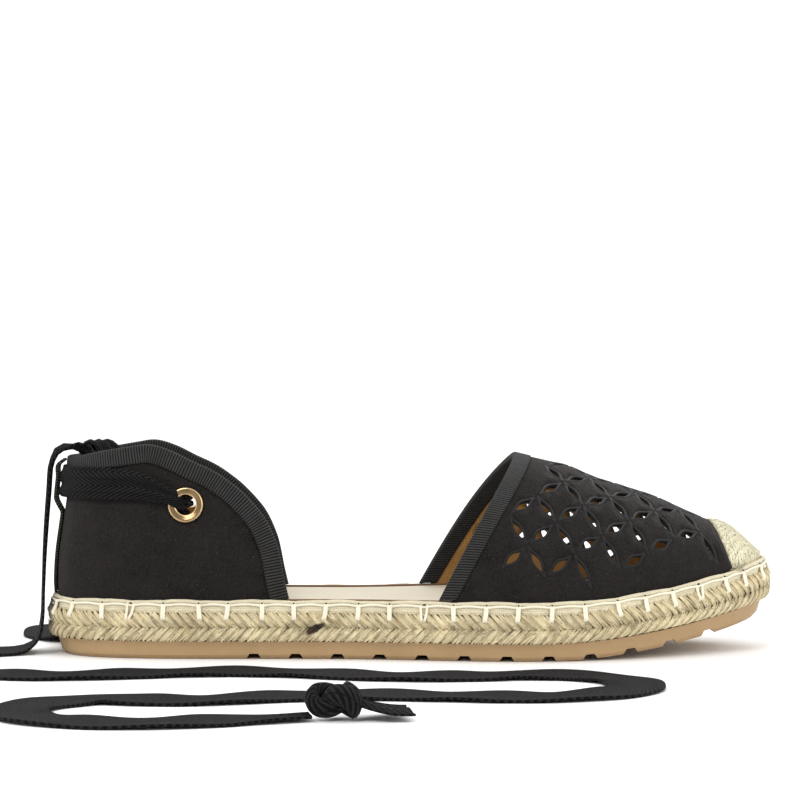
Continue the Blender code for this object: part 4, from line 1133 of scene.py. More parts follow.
class EspadrilleColours(bpy.types.PropertyGroup):
    """Base colours of the shoe's finishes."""

    suede: colour_setting("Suede", "Vamp and heel counter", srgb(24, 22, 21))
    lining: colour_setting("Lining", "Cloth behind the suede", srgb(160, 120, 68))
    ribbon: colour_setting("Ribbon", "Ribbed ribbon on the edges", srgb(54, 53, 52))
    cotton: colour_setting("Cotton", "Herringbone tape of the ties", srgb(34, 32, 34))
    thread_black: colour_setting("Black thread", "Satin stitches round the petals", srgb(14, 14, 18))
    jute: colour_setting("Jute", "Yarns of the braid", srgb(219, 206, 170))
    cap: colour_setting("Toe cap", "Coarse weave over the toe", srgb(240, 233, 200))
    canvas: colour_setting("Canvas", "Welt strip", srgb(221, 211, 182))
    thread_white: colour_setting("White thread", "Stitches on the welt", srgb(234, 227, 205))
    rubber: colour_setting("Rubber", "Outsole", srgb(170, 141, 103))
    footbed: colour_setting("Footbed", "Insole cover", srgb(200, 190, 168))
    edge: colour_setting("Footbed edge", "Cut edge of the insole", srgb(122, 94, 66))
    strip: colour_setting("Back strip", "Ribbed strip up the heel", srgb(66, 67, 54))
    gilt: colour_setting("Gilt", "Eyelets", srgb(208, 176, 130))


class EspadrilleSizes(bpy.types.PropertyGroup):
    """Sizes of the details that the looks add."""

    strand_pitch: length_setting("Strand pitch", "Spacing of the braid's strands round the sole", 0.0034)
    yarn: length_setting("Yarn radius", "Half the thickness of one jute yarn", 0.00047)
    stitch_pitch: length_setting("Stitch pitch", "Spacing of the upright stitches on the welt", 0.0113)
    thread: length_setting("Thread radius", "Half the thickness of the white thread", 0.00042)
    rib_pitch: length_setting("Rib pitch", "Spacing of the ribbon's ribs", 0.00098)
    rim: length_setting("Rim radius", "Half the width of the satin rim round a petal", 0.00050)
    panel_spacing: length_setting("Panel spacing", "Fineness of the suede panels", 0.0030)
    seed: IntProperty(name="Seed", description="Start of the small irregularities", default=7)


def colours():
    return bpy.context.scene.espadrille_colours


def sizes():
    return bpy.context.scene.espadrille_sizes


FINISHES = {}


def finish(label):
    """One of the shared finishes, made when it is first used."""
    if label not in FINISHES:
        tint, size = colours(), sizes()
        FINISHES[label] = {
            "suede": lambda: suede_finish("Black suede", tint.suede),
            "lining": lambda: cloth_finish("Tan lining", tint.lining, 1500.0, charted=True),
            "ribbon": lambda: ribbed_finish("Ribbed ribbon", tint.ribbon, size.rib_pitch),
            "strip": lambda: ribbed_finish("Olive black ribbon", tint.strip, size.rib_pitch),
            "cotton": lambda: herringbone_finish("Herringbone cotton", tint.cotton),
            "satin": lambda: satin_finish("Black satin stitch", tint.thread_black),
            "jute": lambda: jute_finish("Jute yarn", tint.jute),
            "cap": lambda: cap_finish("Coarse jute weave", tint.cap),
            "canvas": lambda: cloth_finish("Cotton canvas", tint.canvas, 1350.0, 0.0002, charted=True),
            "thread": lambda: thread_finish("White thread", tint.thread_white),
            "rubber": lambda: rubber_finish("Tan rubber", tint.rubber),
            "footbed": lambda: footbed_finish("Footbed cover", tint.footbed),
            "edge": lambda: cloth_finish("Footbed edge", tint.edge, 1700.0),
            "gilt": lambda: gilt_finish("Pale gold", tint.gilt),
            # A darker gold for the eyelets' middle band: a painted dark reflection.
            "gilt_dish": lambda: gilt_finish("Shaded gold", [c * 0.30 for c in tint.gilt]),
        }[label]()
    return FINISHES[label]


# Pieces


def drop_line(knots):
    """A tie's route as a dense line of points with the way its outer face looks."""
    ways = {"up": lambda p: Vector((0, 0, 1))}

    def outward(p):
        middle = Vector((max(p.x, -LENGTH / 2 + BALL_WIDTH / 3), 0, 0))
        return (Vector((p.x, p.y, 0)) - middle).normalized()

    ways["out"] = outward
    ways["in"] = lambda p: -outward(p)
    ways["front"] = lambda p: Vector((1, 0, 0))
    spots = [Vector(row[:3]) for row in knots]
    faces = [ways[row[3]](spot) for row, spot in zip(knots, spots)]
    pieces = 6
    looks = [a.lerp(b, k / pieces) for a, b in zip(faces, faces[1:]) for k in range(pieces)]
    return Track(smooth_path(spots, pieces)), looks + [faces[-1]]


def tie_piece(name, knots, slot_name, node):
    """A free tie as a soft tape: pleated where it is gathered, waved a little where it lies."""
    track, looks = drop_line(knots)
    total = track.length

    def place(u, v):
        arc = u * total
        i, part = track.spot(arc)
        point = track.at(arc)
        along = (track.at(min(arc + 0.002, total)) - track.at(max(arc - 0.002, 0))).normalized()
        face = looks[i].lerp(looks[i + 1], part)
        across = along.cross(face).normalized()
        face = across.cross(along)
        wide = min(follow(EYELET_GATHER, 1, arc), follow(KNOT_GATHER, 1, total - arc))
        s = 2 * v - 1
        pleat = (1 - wide) * 0.0013 * math.cos(2.6 * math.pi * s)
        lying = 1 - min(1, max(0, (point.z - TIE_LIFT) / 0.004))
        wave = 0.0007 * (0.5 + 0.5 * math.sin(arc * 170 + 1.2 * s)) * (0.4 + 0.6 * s * s)
        out = pleat * (1 - lying) + (abs(pleat) + wave) * lying
        edge = 1 + 0.02 * math.sin(arc * 330 + 2 * s)
        return point + across * (TAPE_WIDTH / 2 * wide * s * edge) + face * out

    work = sheet_grid(place, round(total / 0.0030), 12, total, TAPE_WIDTH)
    made = piece(name, work, [finish("cotton")], slot_name, node)
    walled(made, 0.0008, 0.0)
    path = [list(track.at(total * k / 260)) for k in range(261)]
    return made, path, total


def knot_piece(name, knots, slot_name, node):
    """An overhand knot pulled up snug, with the tail of the tape that fans out past it."""
    end, before = Vector(knots[-1][:3]), Vector(knots[-2][:3])
    along = (end - before).normalized()
    across = Vector((-along.y, along.x, 0))
    heart = end + along * 0.0078 + Vector((0, 0, 0.0052))
    big, small = 0.00245, 0.00215

    def line(u):
        t = 2 * math.pi * u
        a = math.sin(t) + 2 * math.sin(2 * t)
        b = math.cos(t) - 2 * math.cos(2 * t)
        return heart + along * big * b + across * small * a + Vector((0, 0, -0.0020 * math.sin(3 * t)))

    def wrap(u, v):
        step = 0.002
        way = (line(u + step) - line(u - step)).normalized()
        side = way.cross(line(u) - heart).normalized()
        up = side.cross(way)
        turn = 2 * math.pi * v
        fold = 1 + 0.10 * math.sin(3 * turn + 9 * u)
        return line(u) + side * 0.0033 * math.cos(turn) * fold + up * 0.0021 * math.sin(turn) * fold

    work = sheet_grid(wrap, 120, 16, 0.075, 0.012, closed=True)
    bmesh.ops.recalc_face_normals(work, faces=work.faces)

    def tail(u, v):
        s = 2 * v - 1
        wide = 0.0030 + 0.0065 * min(1, u * 1.6) ** 0.8
        pleat = 0.0010 * math.cos(3.2 * math.pi * s) * (1 - 0.6 * u)
        lift = 0.0042 * (1 - u) ** 2 + 0.0009 + pleat + 0.0006
        frayed = 0.0004 * math.sin(37 * s) * (u > 0.98)
        return end + along * (0.0105 + 0.0190 * u + frayed) + across * wide * s + Vector((0, 0, lift))

    fan = sheet_grid(tail, 16, 14, 0.019, TAPE_WIDTH)
    bmesh.ops.solidify(fan, geom=list(fan.faces), thickness=-0.0007)
    spare = bpy.data.meshes.new("tail")
    fan.to_mesh(spare)
    fan.free()
    work.from_mesh(spare)
    bpy.data.meshes.remove(spare)
    return piece(name, work, [finish("cotton")], slot_name, node)


def tie_knots(side):
    """A tie's route: out of its eyelet's bore, over the heel and along the ground."""
    heel, ground = (LATERAL_HEEL, LATERAL_GROUND) if side == LATERAL else (MEDIAL_HEEL, MEDIAL_GROUND)
    bore = heel_point(eyelet_spot(side).x, EYELET_HEIGHT, -0.0012)
    return ((*bore, "front"), *heel, *((x, y, TIE_LIFT, "up") for x, y in ground))


class EspadrilleTies(bpy.types.Operator):
    """Lay the two free ties and their knots"""

    bl_idname = "espadrille.ties"
    bl_label = "Ties and knots"

    def execute(self, context):
        for label, side, suffix in SIDES:
            knots = tie_knots(side)
            tie, path, total = tie_piece(f"loose_tie_{label}", knots, "tie_cotton" + suffix, f"tie_{label}")
            knot = knot_piece(f"tied_knot_{label}", knots, "knot_cotton" + suffix, f"knot_{label}")
            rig.cord(
                tie,
                exit=path[0],
                length=total,
                diameter=TAPE_WIDTH,
                far_end="knot",
                stiffness="limp",
                lay="loose",
                path=path,
                with_pieces=[knot],
            )
        return {"FINISHED"}


class EspadrilleOutsole(bpy.types.Operator):
    """Give the rubber outsole its finish"""

    bl_idname = "espadrille.outsole"
    bl_label = "Outsole"

    def execute(self, context):
        NODES["outsole"].data.materials.clear()
        NODES["outsole"].data.materials.append(finish("rubber"))
        return {"FINISHED"}


class EspadrilleBraid(bpy.types.Operator):
    """Wind the braided jute midsole from slanting yarns over a core"""

    bl_idname = "espadrille.braid"
    bl_label = "Jute braid"

    def execute(self, context):
        size = sizes()
        chance = random.Random(size.seed)
        work = bmesh.new()
        work.from_mesh(NODES["jute_sole"].data)
        bmesh.ops.remove_doubles(work, verts=work.verts, dist=0.00001)
        work.normal_update()
        for vertex in work.verts:
            flat = Vector((vertex.normal.x, vertex.normal.y, 0))
            if flat.length > 0.3:
                vertex.co -= flat.normalized() * 0.0012
        work.loops.layers.uv.new("UVMap")
        track = sole_track(0.0017)
        strands = round(track.length / size.strand_pitch)
        ball = bmesh.new()
        bmesh.ops.create_uvsphere(ball, u_segments=7, v_segments=7, radius=1, calc_uvs=True)
        bead = bpy.data.meshes.new("yarn")
        ball.to_mesh(bead)
        ball.free()
        wound = bpy.data.meshes.new("strand")
        rows = ((0.760, -1, 0.0061), (0.262, 1, 0.0054))
        for level, way, tall in rows:
            for i in range(strands):
                strand = bmesh.new()
                for k in (-1.5, -0.5, 0.5, 1.5):
                    yarn = bmesh.new()
                    yarn.from_mesh(bead)
                    arc = (i + k / 4.4 + chance.uniform(-0.05, 0.05)) * track.length / strands
                    self.lay_yarn(yarn, track, arc % track.length, level, way, tall, k, chance, size.yarn)
                    yarn.to_mesh(wound)
                    yarn.free()
                    strand.from_mesh(wound)
                strand.to_mesh(wound)
                strand.free()
                work.from_mesh(wound)
        bpy.data.meshes.remove(wound)
        bpy.data.meshes.remove(bead)
        piece("jute_braid", work, [finish("jute")], "jute_braid", "jute_sole")
        threads("stray_fibres", self.stray(sole_track(0), chance), 0.00009, finish("jute"), "jute_braid", 0)
        return {"FINISHED"}

    def stray(self, track, chance):
        """Short loose fibres that lie over the braid."""
        paths = []
        for _ in range(900):
            arc, level = chance.uniform(0, track.length), chance.uniform(0.12, 0.88)
            way, long = chance.uniform(-1.3, 1.3), chance.uniform(0.0015, 0.0040)
            bend = chance.uniform(-0.5, 0.5)
            path = []
            for k in range(5):
                t = k / 4 - 0.5
                turn = way + bend * t
                spot = track.at((arc + long * t * math.cos(turn)) % track.length)
                ahead = track.at((arc + 0.001) % track.length) - track.at(arc)
                out = Vector((ahead.y, -ahead.x, 0)).normalized()
                high = level * JUTE_THICKNESS + long * t * math.sin(turn)
                lift = 0.0004 - 0.0020 * (2 * high / JUTE_THICKNESS - 1) ** 4
                lift += chance.uniform(-0.0002, 0.0002)
                path.append(spot + out * lift + Vector((0, 0, JUTE_FLOOR + high + top_spring(spot.x))))
            paths.append(path)
        return paths

    def lay_yarn(self, yarn, track, arc, level, way, tall, k, chance, radius):
        """Shapes one yarn: a long bead, slanted across its row and bowed outwards."""
        point, along, out = track.frame_at(arc)
        slant = math.radians(44 + chance.uniform(-5, 5))
        way_up = along * math.cos(slant) * way + Vector((0, 0, math.sin(slant)))
        side = way_up.cross(out)
        half = tall / 2 / math.sin(slant) * chance.uniform(0.97, 1.06)
        proud = 0.0008 if abs(k) < 1 else 0.0001
        centre = point + Vector((0, 0, JUTE_FLOOR + level * JUTE_THICKNESS + top_spring(point.x)))
        turn = Matrix((side, out, way_up)).transposed().to_4x4()
        thick = radius * chance.uniform(0.92, 1.08)
        for vertex in yarn.verts:
            z = vertex.co.z
            wide = math.sqrt(max(0, 1 - abs(z) ** 3.2))
            flat = Vector((vertex.co.x, vertex.co.y, 0))
            flat = flat.normalized() * wide if flat.length > 1e-6 else flat
            local = Vector((flat.x * thick, flat.y * thick * 1.15, z * half))
            bow = proud + 0.0013 * (1 - z * z) - 0.0004
            vertex.co = centre + turn @ local + out * bow


def welt_ring():
    """The welt's outer line, and how far round it each upright stitch sits."""
    track = sole_track(WELT_INSET)
    count = round(track.length / sizes().stitch_pitch)
    chance = random.Random(sizes().seed + 1)
    stitches = [(i + chance.uniform(-0.06, 0.06)) * track.length / count for i in range(count)]
    return track, stitches


class EspadrilleWelt(bpy.types.Operator):
    """Set the canvas welt strip on edge round the sole, drawn in a little at each stitch"""

    bl_idname = "espadrille.welt"
    bl_label = "Welt strip"

    def execute(self, context):
        track, stitches = welt_ring()
        profile = (
            (0.0, -0.0002), (-0.00015, 0.0008), (-0.0002, 0.0020), (-0.00005, 0.00285), (0.00015, 0.0031),
            (-0.00025, 0.00345), (-0.0003, 0.00395), (0.00005, 0.00438), (0.00055, 0.0045),
            (0.00105, 0.0044), (0.0013, 0.0040), (0.0013, 0.0001), (0.0010, -0.0002), (0.0, -0.0002),
        )

        def place(u, v):
            arc = u * track.length % track.length
            point, _, out = track.frame_at(arc)
            at = v * (len(profile) - 1)
            i = min(int(at), len(profile) - 2)
            inset = profile[i][0] + (profile[i + 1][0] - profile[i][0]) * (at - i)
            height = profile[i][1] + (profile[i + 1][1] - profile[i][1]) * (at - i)
            half = track.length / 2
            near = min(abs((arc - s + half) % track.length - half) for s in stitches)
            pinch = math.exp(-((near / 0.0016) ** 2))
            ripple = 0.00012 * math.sin(arc * 410) + 0.0001 * math.sin(arc * 1130 + 1)
            if inset < 0.0008:
                inset += 0.00030 * pinch - ripple
            height += (0.00022 * math.sin(arc * 230) - 0.0002 * pinch) * max(0, height / WELT_HEIGHT)
            level = WELT_FLOOR + max(height, -0.0001) + top_spring(point.x)
            return point - out * inset + Vector((0, 0, level))

        work = sheet_grid(place, 460, (len(profile) - 1) * 2, track.length, 0.0115, closed=True)
        bmesh.ops.recalc_face_normals(work, faces=work.faces)
        piece("canvas_welt", work, [finish("canvas")], "welt_canvas", "welt_strip")
        return {"FINISHED"}


class EspadrilleStitches(bpy.types.Operator):
    """Sew the white thread: a running line round the welt and doubled upright stitches into the braid"""

    bl_idname = "espadrille.stitches"
    bl_label = "White stitches"

    def execute(self, context):
        track, stitches = welt_ring()
        size = sizes()
        chance = random.Random(size.seed + 2)
        length = track.length

        def spot(arc, height, out_by):
            point, _, out = track.frame_at(arc % length)
            return point + out * out_by + Vector((0, 0, WELT_FLOOR + height + top_spring(point.x)))

        lines = []
        for i, here in enumerate(stitches):
            there = stitches[(i + 1) % len(stitches)]
            span = (there - here) % length
            line = []
            for k in range(11):
                t = k / 10
                bow = math.sin(math.pi * t)
                out_by = 0.00005 + 0.00050 * min(1, bow * 2)
                line.append(spot(here + span * t, 0.00245 + 0.00060 * bow, out_by))
            lines.append(line)
        uprights = []
        for i, here in enumerate(stitches):
            lean = chance.uniform(-0.0007, 0.0007)
            spread = 0.0018 if i % 9 == 4 else 0.0
            for k in (-1, 1):
                base = here + k * (0.00036 + spread * 0.45)
                fall = -k * spread * 0.35
                uprights.append([spot(base + lean * part + fall * part, *place) for part, *place in UPRIGHT])
        threads("running_thread", lines, size.thread, finish("thread"), "welt_canvas")
        threads("upright_stitches", uprights, size.thread * 1.15, finish("thread"), "welt_canvas")
        # Short black marks at each stitch: painted shade inside the needle holes.
        holes = [[spot(here + k * 0.0003, 0.00335, 0.00010) for k in (-1, 0, 1)] for here in stitches]
        threads("needle_holes", holes, 0.00030, finish("satin"), "welt_canvas", 1)
        return {"FINISHED"}


class EspadrilleFootbed(bpy.types.Operator):
    """Cover the insole, with its cut edge as a thin brown line"""

    bl_idname = "espadrille.footbed"
    bl_label = "Footbed"

    def execute(self, context):
        NODES["insole"].data.materials.clear()
        NODES["insole"].data.materials.append(finish("footbed"))
        track = sole_track(UPPER_INSET + 0.0004)

        def place(u, v):
            arc = u * track.length % track.length
            point, _, out = track.frame_at(arc)
            turn = 2 * math.pi * v
            ring = -out * (0.0010 * (1 - math.cos(turn))) + Vector((0, 0, 0.00045 * math.sin(turn)))
            return point + ring + Vector((0, 0, WELT_TOP - 0.00030 + top_spring(point.x)))

        work = sheet_grid(place, 300, 8, track.length, 0.004, closed=True)
        bmesh.ops.recalc_face_normals(work, faces=work.faces)
        piece("footbed_edge", work, [finish("edge")], "footbed")
        return {"FINISHED"}


def petal_line(centre, slant, grow=0.0, half=11, tail=0.0):
    """The outline of a petal hole, or of a rim that is grown round it and drawn out at its tips."""
    long_way = Vector((math.cos(slant), math.sin(slant)))
    short_way = Vector((-long_way.y, long_way.x))
    points = []
    for edge in (-1, 1):
        for i in range(half):
            part = edge * (2 * i / half - 1)
            bow = edge * (PETAL_WIDTH / 2 + grow) * (1 - part * part)
            reach = PETAL_LENGTH / 2 + grow * 1.5 + tail * abs(part) ** 8
            points.append(centre + long_way * part * reach + short_way * bow)
    return points


def vamp_border():
    shares = [-1.0, 0.0] + rising(24)
    throat = last_edge(throat_x, BINDING_WIDTH - SUEDE_LAP, shares)
    front = last_edge(cap_x, -2 * CLEARANCE, shares)

    def foot(first, last, side):
        xs = [first + (last - first) * i / 30 for i in range(1, 30)]
        return [Vector((x, side * girth_arc(x, side, -1.0))) for x in xs]

    lateral = foot(front[0].x, throat[0].x, LATERAL)
    medial = foot(throat[-1].x, front[-1].x, MEDIAL)
    border = throat + medial + front[::-1] + lateral
    border.reverse()
    return border


def lattice(border):
    """Places and slants of the petals, on every side of the lattice's rhombs that clears the border."""
    node = Vector((x_of(LATTICE_STATION), 0))
    half = Vector((NODE_PITCH / 2, ROW_PITCH))
    found = []
    for i in range(-14, 15):
        for j in range(-7, 8):
            for side in (-1, 1):
                if (i + j) % 2:
                    continue
                spot = node + Vector((half.x * (i + 0.5), half.y * (j + side / 2)))
                spot.x -= LATTICE_LEAN * abs(spot.y)
                lean = -LATTICE_LEAN * math.copysign(1, spot.y or 1)
                angle = math.atan2(half.y * side, half.x + lean * half.y * side)
                if all(clears(point, border) for point in petal_line(spot, angle, half=5)):
                    found.append((spot, angle))
    return found


def clears(point, border):
    if not inside(point, border) or distance(point, border) < PETAL_MARGIN:
        return False
    foot = girth_arc(point.x, MEDIAL if point.y > 0 else LATERAL, 0)
    return abs(point.y) <= foot - PETAL_FOOT_MARGIN


class EspadrilleVamp(bpy.types.Operator):
    """Cut the suede vamp with its petals and sew a satin rim round each"""

    bl_idname = "espadrille.vamp"
    bl_label = "Cutwork vamp"

    def execute(self, context):
        border = vamp_border()
        spots = lattice(border)
        work = cut_panel(border, [petal_line(*spot) for spot in spots], on_vamp, sizes().panel_spacing)
        aim_outwards(work, Vector((0.06, 0, 0.03)))
        made = piece("suede_vamp", work, [finish("suede"), finish("lining")], "vamp_suede", "vamp")
        walled(made, UPPER_WALL, inner=1)
        radius = sizes().rim
        rims = bmesh.new()
        layer = rims.loops.layers.uv.new("UVMap")
        for centre, slant in spots:
            self.rim(rims, layer, centre, slant, radius)
        piece("satin_rims", rims, [finish("satin")], "vamp_suede")
        return {"FINISHED"}

    def rim(self, work, layer, centre, slant, radius):
        """A half-round roll that follows a petal's edge."""
        drawn = petal_line(centre, slant, radius * 0.12, half=14, tail=0.0016)
        flat = Track([p.to_3d() for p in drawn], closed=True)
        steps, around = 34, 5
        made = bmesh.ops.create_grid(work, x_segments=steps, y_segments=around, size=0.5)["verts"]
        faces = {face for vertex in made for face in vertex.link_faces}
        for face in faces:
            for loop in face.loops:
                loop[layer].uv = ((loop.vert.co.x + 0.5) * flat.length, (loop.vert.co.y + 0.5) * 0.003)
        for vertex in made:
            arc = (vertex.co.x + 0.5) * flat.length % flat.length
            turn = math.pi * (vertex.co.y + 0.5)
            spot = flat.at(arc)
            along = flat.at((arc + 0.0002) % flat.length) - flat.at((arc - 0.0002) % flat.length)
            side = Vector((along.y, -along.x, 0)).normalized() * radius * math.cos(turn)
            spot += side
            vertex.co = on_vamp(spot.x, spot.y, -0.0002 + radius * 0.85 * math.sin(turn))
        bmesh.ops.remove_doubles(work, verts=made, dist=0.00001)


def folded_ribbon(name, line, outward, node, columns):
    """A ribbon folded over an edge: line(u, share) is a point below the edge on its outer side."""
    proud = BINDING_PROUD
    depth = UPPER_WALL + 2 * proud

    def place(u, v):
        s = v * 3
        if s <= 1:
            share, out = 1 - s, proud
            bulge = 0.00012 * math.sin(math.pi * s)
            return line(u, share) + outward(u, share) * (out + bulge)
        if s >= 2:
            share = s - 2
            return line(u, share) + outward(u, share) * (proud - depth)
        turn = math.pi * (s - 1)
        middle = proud - depth / 2
        rise = (line(u, 0.0) - line(u, 0.06)).normalized()
        out = middle + depth / 2 * math.cos(turn)
        return line(u, 0.0) + outward(u, 0.0) * out + rise * 0.0006 * math.sin(turn)

    total = sum((line((k + 1) / 200, 0) - line(k / 200, 0)).length for k in range(200))
    work = sheet_grid(place, columns, 18, total, 2 * BINDING_WIDTH + depth)
    walled(piece(name, work, [finish("ribbon")], name, node), RIBBON_WALL)


class EspadrilleThroatRibbon(bpy.types.Operator):
    """Fold the ribbed ribbon over the throat's edge"""

    bl_idname = "espadrille.throat_ribbon"
    bl_label = "Throat ribbon"

    def execute(self, context):
        shares = [CLEARANCE / INSTEP_RISE] + rising(40)
        edges = [last_edge(throat_x, k / 4 * BINDING_WIDTH, shares) for k in range(5)]
        flats = [Track([p.to_3d() for p in edge]) for edge in edges]

        def flat_at(u, share):
            at = share * 4
            i = min(int(at), 3)
            low, high = (flats[j].at(u * flats[j].length) for j in (i, i + 1))
            return low.lerp(high, at - i)

        def line(u, share):
            spot = flat_at(u, share)
            return on_vamp(spot.x, spot.y)

        def outward(u, share):
            spot = flat_at(u, share)
            return (on_vamp(spot.x, spot.y, 0.001) - on_vamp(spot.x, spot.y)) * 1000

        folded_ribbon("throat_ribbon", line, outward, "throat_binding", 150)
        return {"FINISHED"}


class EspadrilleToeCap(bpy.types.Operator):
    """Weave the coarse jute cap over the toe"""

    bl_idname = "espadrille.toe_cap"
    bl_label = "Toe cap"

    def execute(self, context):
        steps = 40
        shoulder = [0.0] + rising(steps)
        rim, back = [], []
        for side in (LATERAL, MEDIAL):
            edge = UPPER_EDGE[side]
            first = edge.turn_at(edge.arc_at(x_of(CAP_FOOT)))
            turns = [first + (math.pi - first) * i / steps for i in range(steps + 1)]
            way = [outline(turn, side, UPPER_INSET) for turn in turns]
            rim += way if side == LATERAL else way[-2::-1]
            arc = [last_point(cap_x(share, side), side, share) for share in shoulder]
            back += arc if side == LATERAL else arc[-2::-1]

        def cap_height(x, y, share):
            side = MEDIAL if y > BALL_WIDTH * follow(LAST, 2, station_of(x)) else LATERAL
            base, rise, ridge, wide, full = last_at(x, side)
            out = min(abs(y - ridge) / wide, 1.0) if share else 1.0
            up = (1 - out**full) ** (1 / full)
            return base + rise * up + CAP_PROUD * min(1, 3 * up)

        def place(u, v):
            at = u * (len(rim) - 1)
            i = min(int(at), len(rim) - 2)
            outer = rim[i].lerp(rim[i + 1], at - i)
            if v < 0.12:
                return Vector((outer.x, outer.y, WELT_FLOOR + top_spring(outer.x) + v / 0.12 * WELT_HEIGHT))
            share = ((v - 0.12) / 0.88) ** 1.5
            inner = back[i].lerp(back[i + 1], at - i)
            spot = outer.lerp(inner, share)
            knobs = noise.noise(spot * CAP_THREADS * 0.9) * 0.00030 * min(1, 4 * share)
            return Vector((spot.x, spot.y, cap_height(spot.x, spot.y, share) + knobs))

        work = sheet_grid(place, 170, 72, 0.085, 0.030)
        aim_outwards(work, Vector((0.10, 0.006, 0.02)))
        layer = work.loops.layers.uv.active
        for face in work.faces:
            for loop in face.loops:
                loop[layer].uv = (loop.vert.co.x * 1.05, loop.vert.co.y)
        made = piece("jute_cap", work, [finish("cap")], "cap_jute", "toe_cap")
        walled(made, UPPER_WALL + CAP_PROUD)
        return {"FINISHED"}


def eyelet_spot(side):
    return Vector((side * arc_of(EYELET_STATION, side), EYELET_HEIGHT))


def eyelet_place(side):
    """The eyelet's middle on the wall and the way it looks."""
    spot, step = eyelet_spot(side), 0.002
    along = heel_point(spot.x + step, spot.y) - heel_point(spot.x - step, spot.y)
    up = heel_point(spot.x, spot.y + step) - heel_point(spot.x, spot.y - step)
    return heel_point(spot.x, spot.y), up.cross(along).normalized()


class EspadrilleCounter(bpy.types.Operator):
    """Cut the suede heel counter with its eyelet holes"""

    bl_idname = "espadrille.counter"
    bl_label = "Heel counter"

    def execute(self, context):
        collar = collar_track()
        lower = []
        count = 160
        for k in range(count + 1):
            arc = collar.length * k / count
            lower.append(below_collar(collar, arc, BINDING_WIDTH - SUEDE_LAP))
        first, last = Vector((lower[0].x, -WELT_HEIGHT)), Vector((lower[-1].x, -WELT_HEIGHT))
        bottom = [first.lerp(last, i / 110) for i in range(111)]
        lower = [p for p in lower if p.y > 0.0004]
        border = bottom + lower[::-1]
        radius = EYELET_BORE + EYELET_BARREL + CLEARANCE
        holes = []
        turns = [2 * math.pi * i / 32 for i in range(32)]
        ring = [Vector((math.cos(turn), math.sin(turn))) for turn in turns]
        for side in (LATERAL, MEDIAL):
            holes.append([eyelet_spot(side) + radius * p for p in ring])
        work = cut_panel(border, holes, heel_point, sizes().panel_spacing)
        aim_outwards(work, HEEL_MIDDLE)
        looks = [finish("suede"), finish("lining")]
        made = piece("suede_counter", work, looks, "counter_suede", "heel_counter")
        walled(made, UPPER_WALL, inner=1)
        return {"FINISHED"}


class EspadrilleCollarRibbon(bpy.types.Operator):
    """Fold the ribbed ribbon over the counter's edge"""

    bl_idname = "espadrille.collar_ribbon"
    bl_label = "Collar ribbon"

    def execute(self, context):
        collar = collar_track()

        def flat_at(u, share):
            spot = below_collar(collar, u * collar.length, share * BINDING_WIDTH)
            return spot.x, max(spot.y, CLEARANCE)

        def line(u, share):
            return heel_point(*flat_at(u, share))

        def outward(u, share):
            x, y = flat_at(u, share)
            return (heel_point(x, y, 0.001) - heel_point(x, y)) * 1000

        folded_ribbon("collar_ribbon", line, outward, "collar_binding", 260)
        return {"FINISHED"}


class EspadrilleBackStrip(bpy.types.Operator):
    """Sew the narrow strip up the back of the heel, with its loop for the tape"""

    bl_idname = "espadrille.back_strip"
    bl_label = "Back strip"

    def execute(self, context):
        clear = tape_stand_off() + FOLDED_THICKNESS + CLEARANCE + STRIP_THICKNESS
        least = CLEARANCE + STRIP_THICKNESS
        tall = (STRIP[-1][0] - STRIP[0][0]) * COLLAR_RISE

        def place(u, v):
            height = STRIP[0][0] + (STRIP[-1][0] - STRIP[0][0]) * u
            out = max(clear * follow(STRIP, 1, height), least) + 0.0002
            return heel_point((v - 0.5) * STRIP_WIDTH, height * COLLAR_RISE, out)

        work = sheet_grid(place, 60, 10, tall, STRIP_WIDTH)
        aim_outwards(work, HEEL_MIDDLE)
        made = piece("ribbed_back_strip", work, [finish("strip")], "strip_ribbon", "back_strip")
        walled(made, STRIP_THICKNESS)
        return {"FINISHED"}


def tape_stand_off():
    return BINDING_PROUD + CLEARANCE + 0.0003


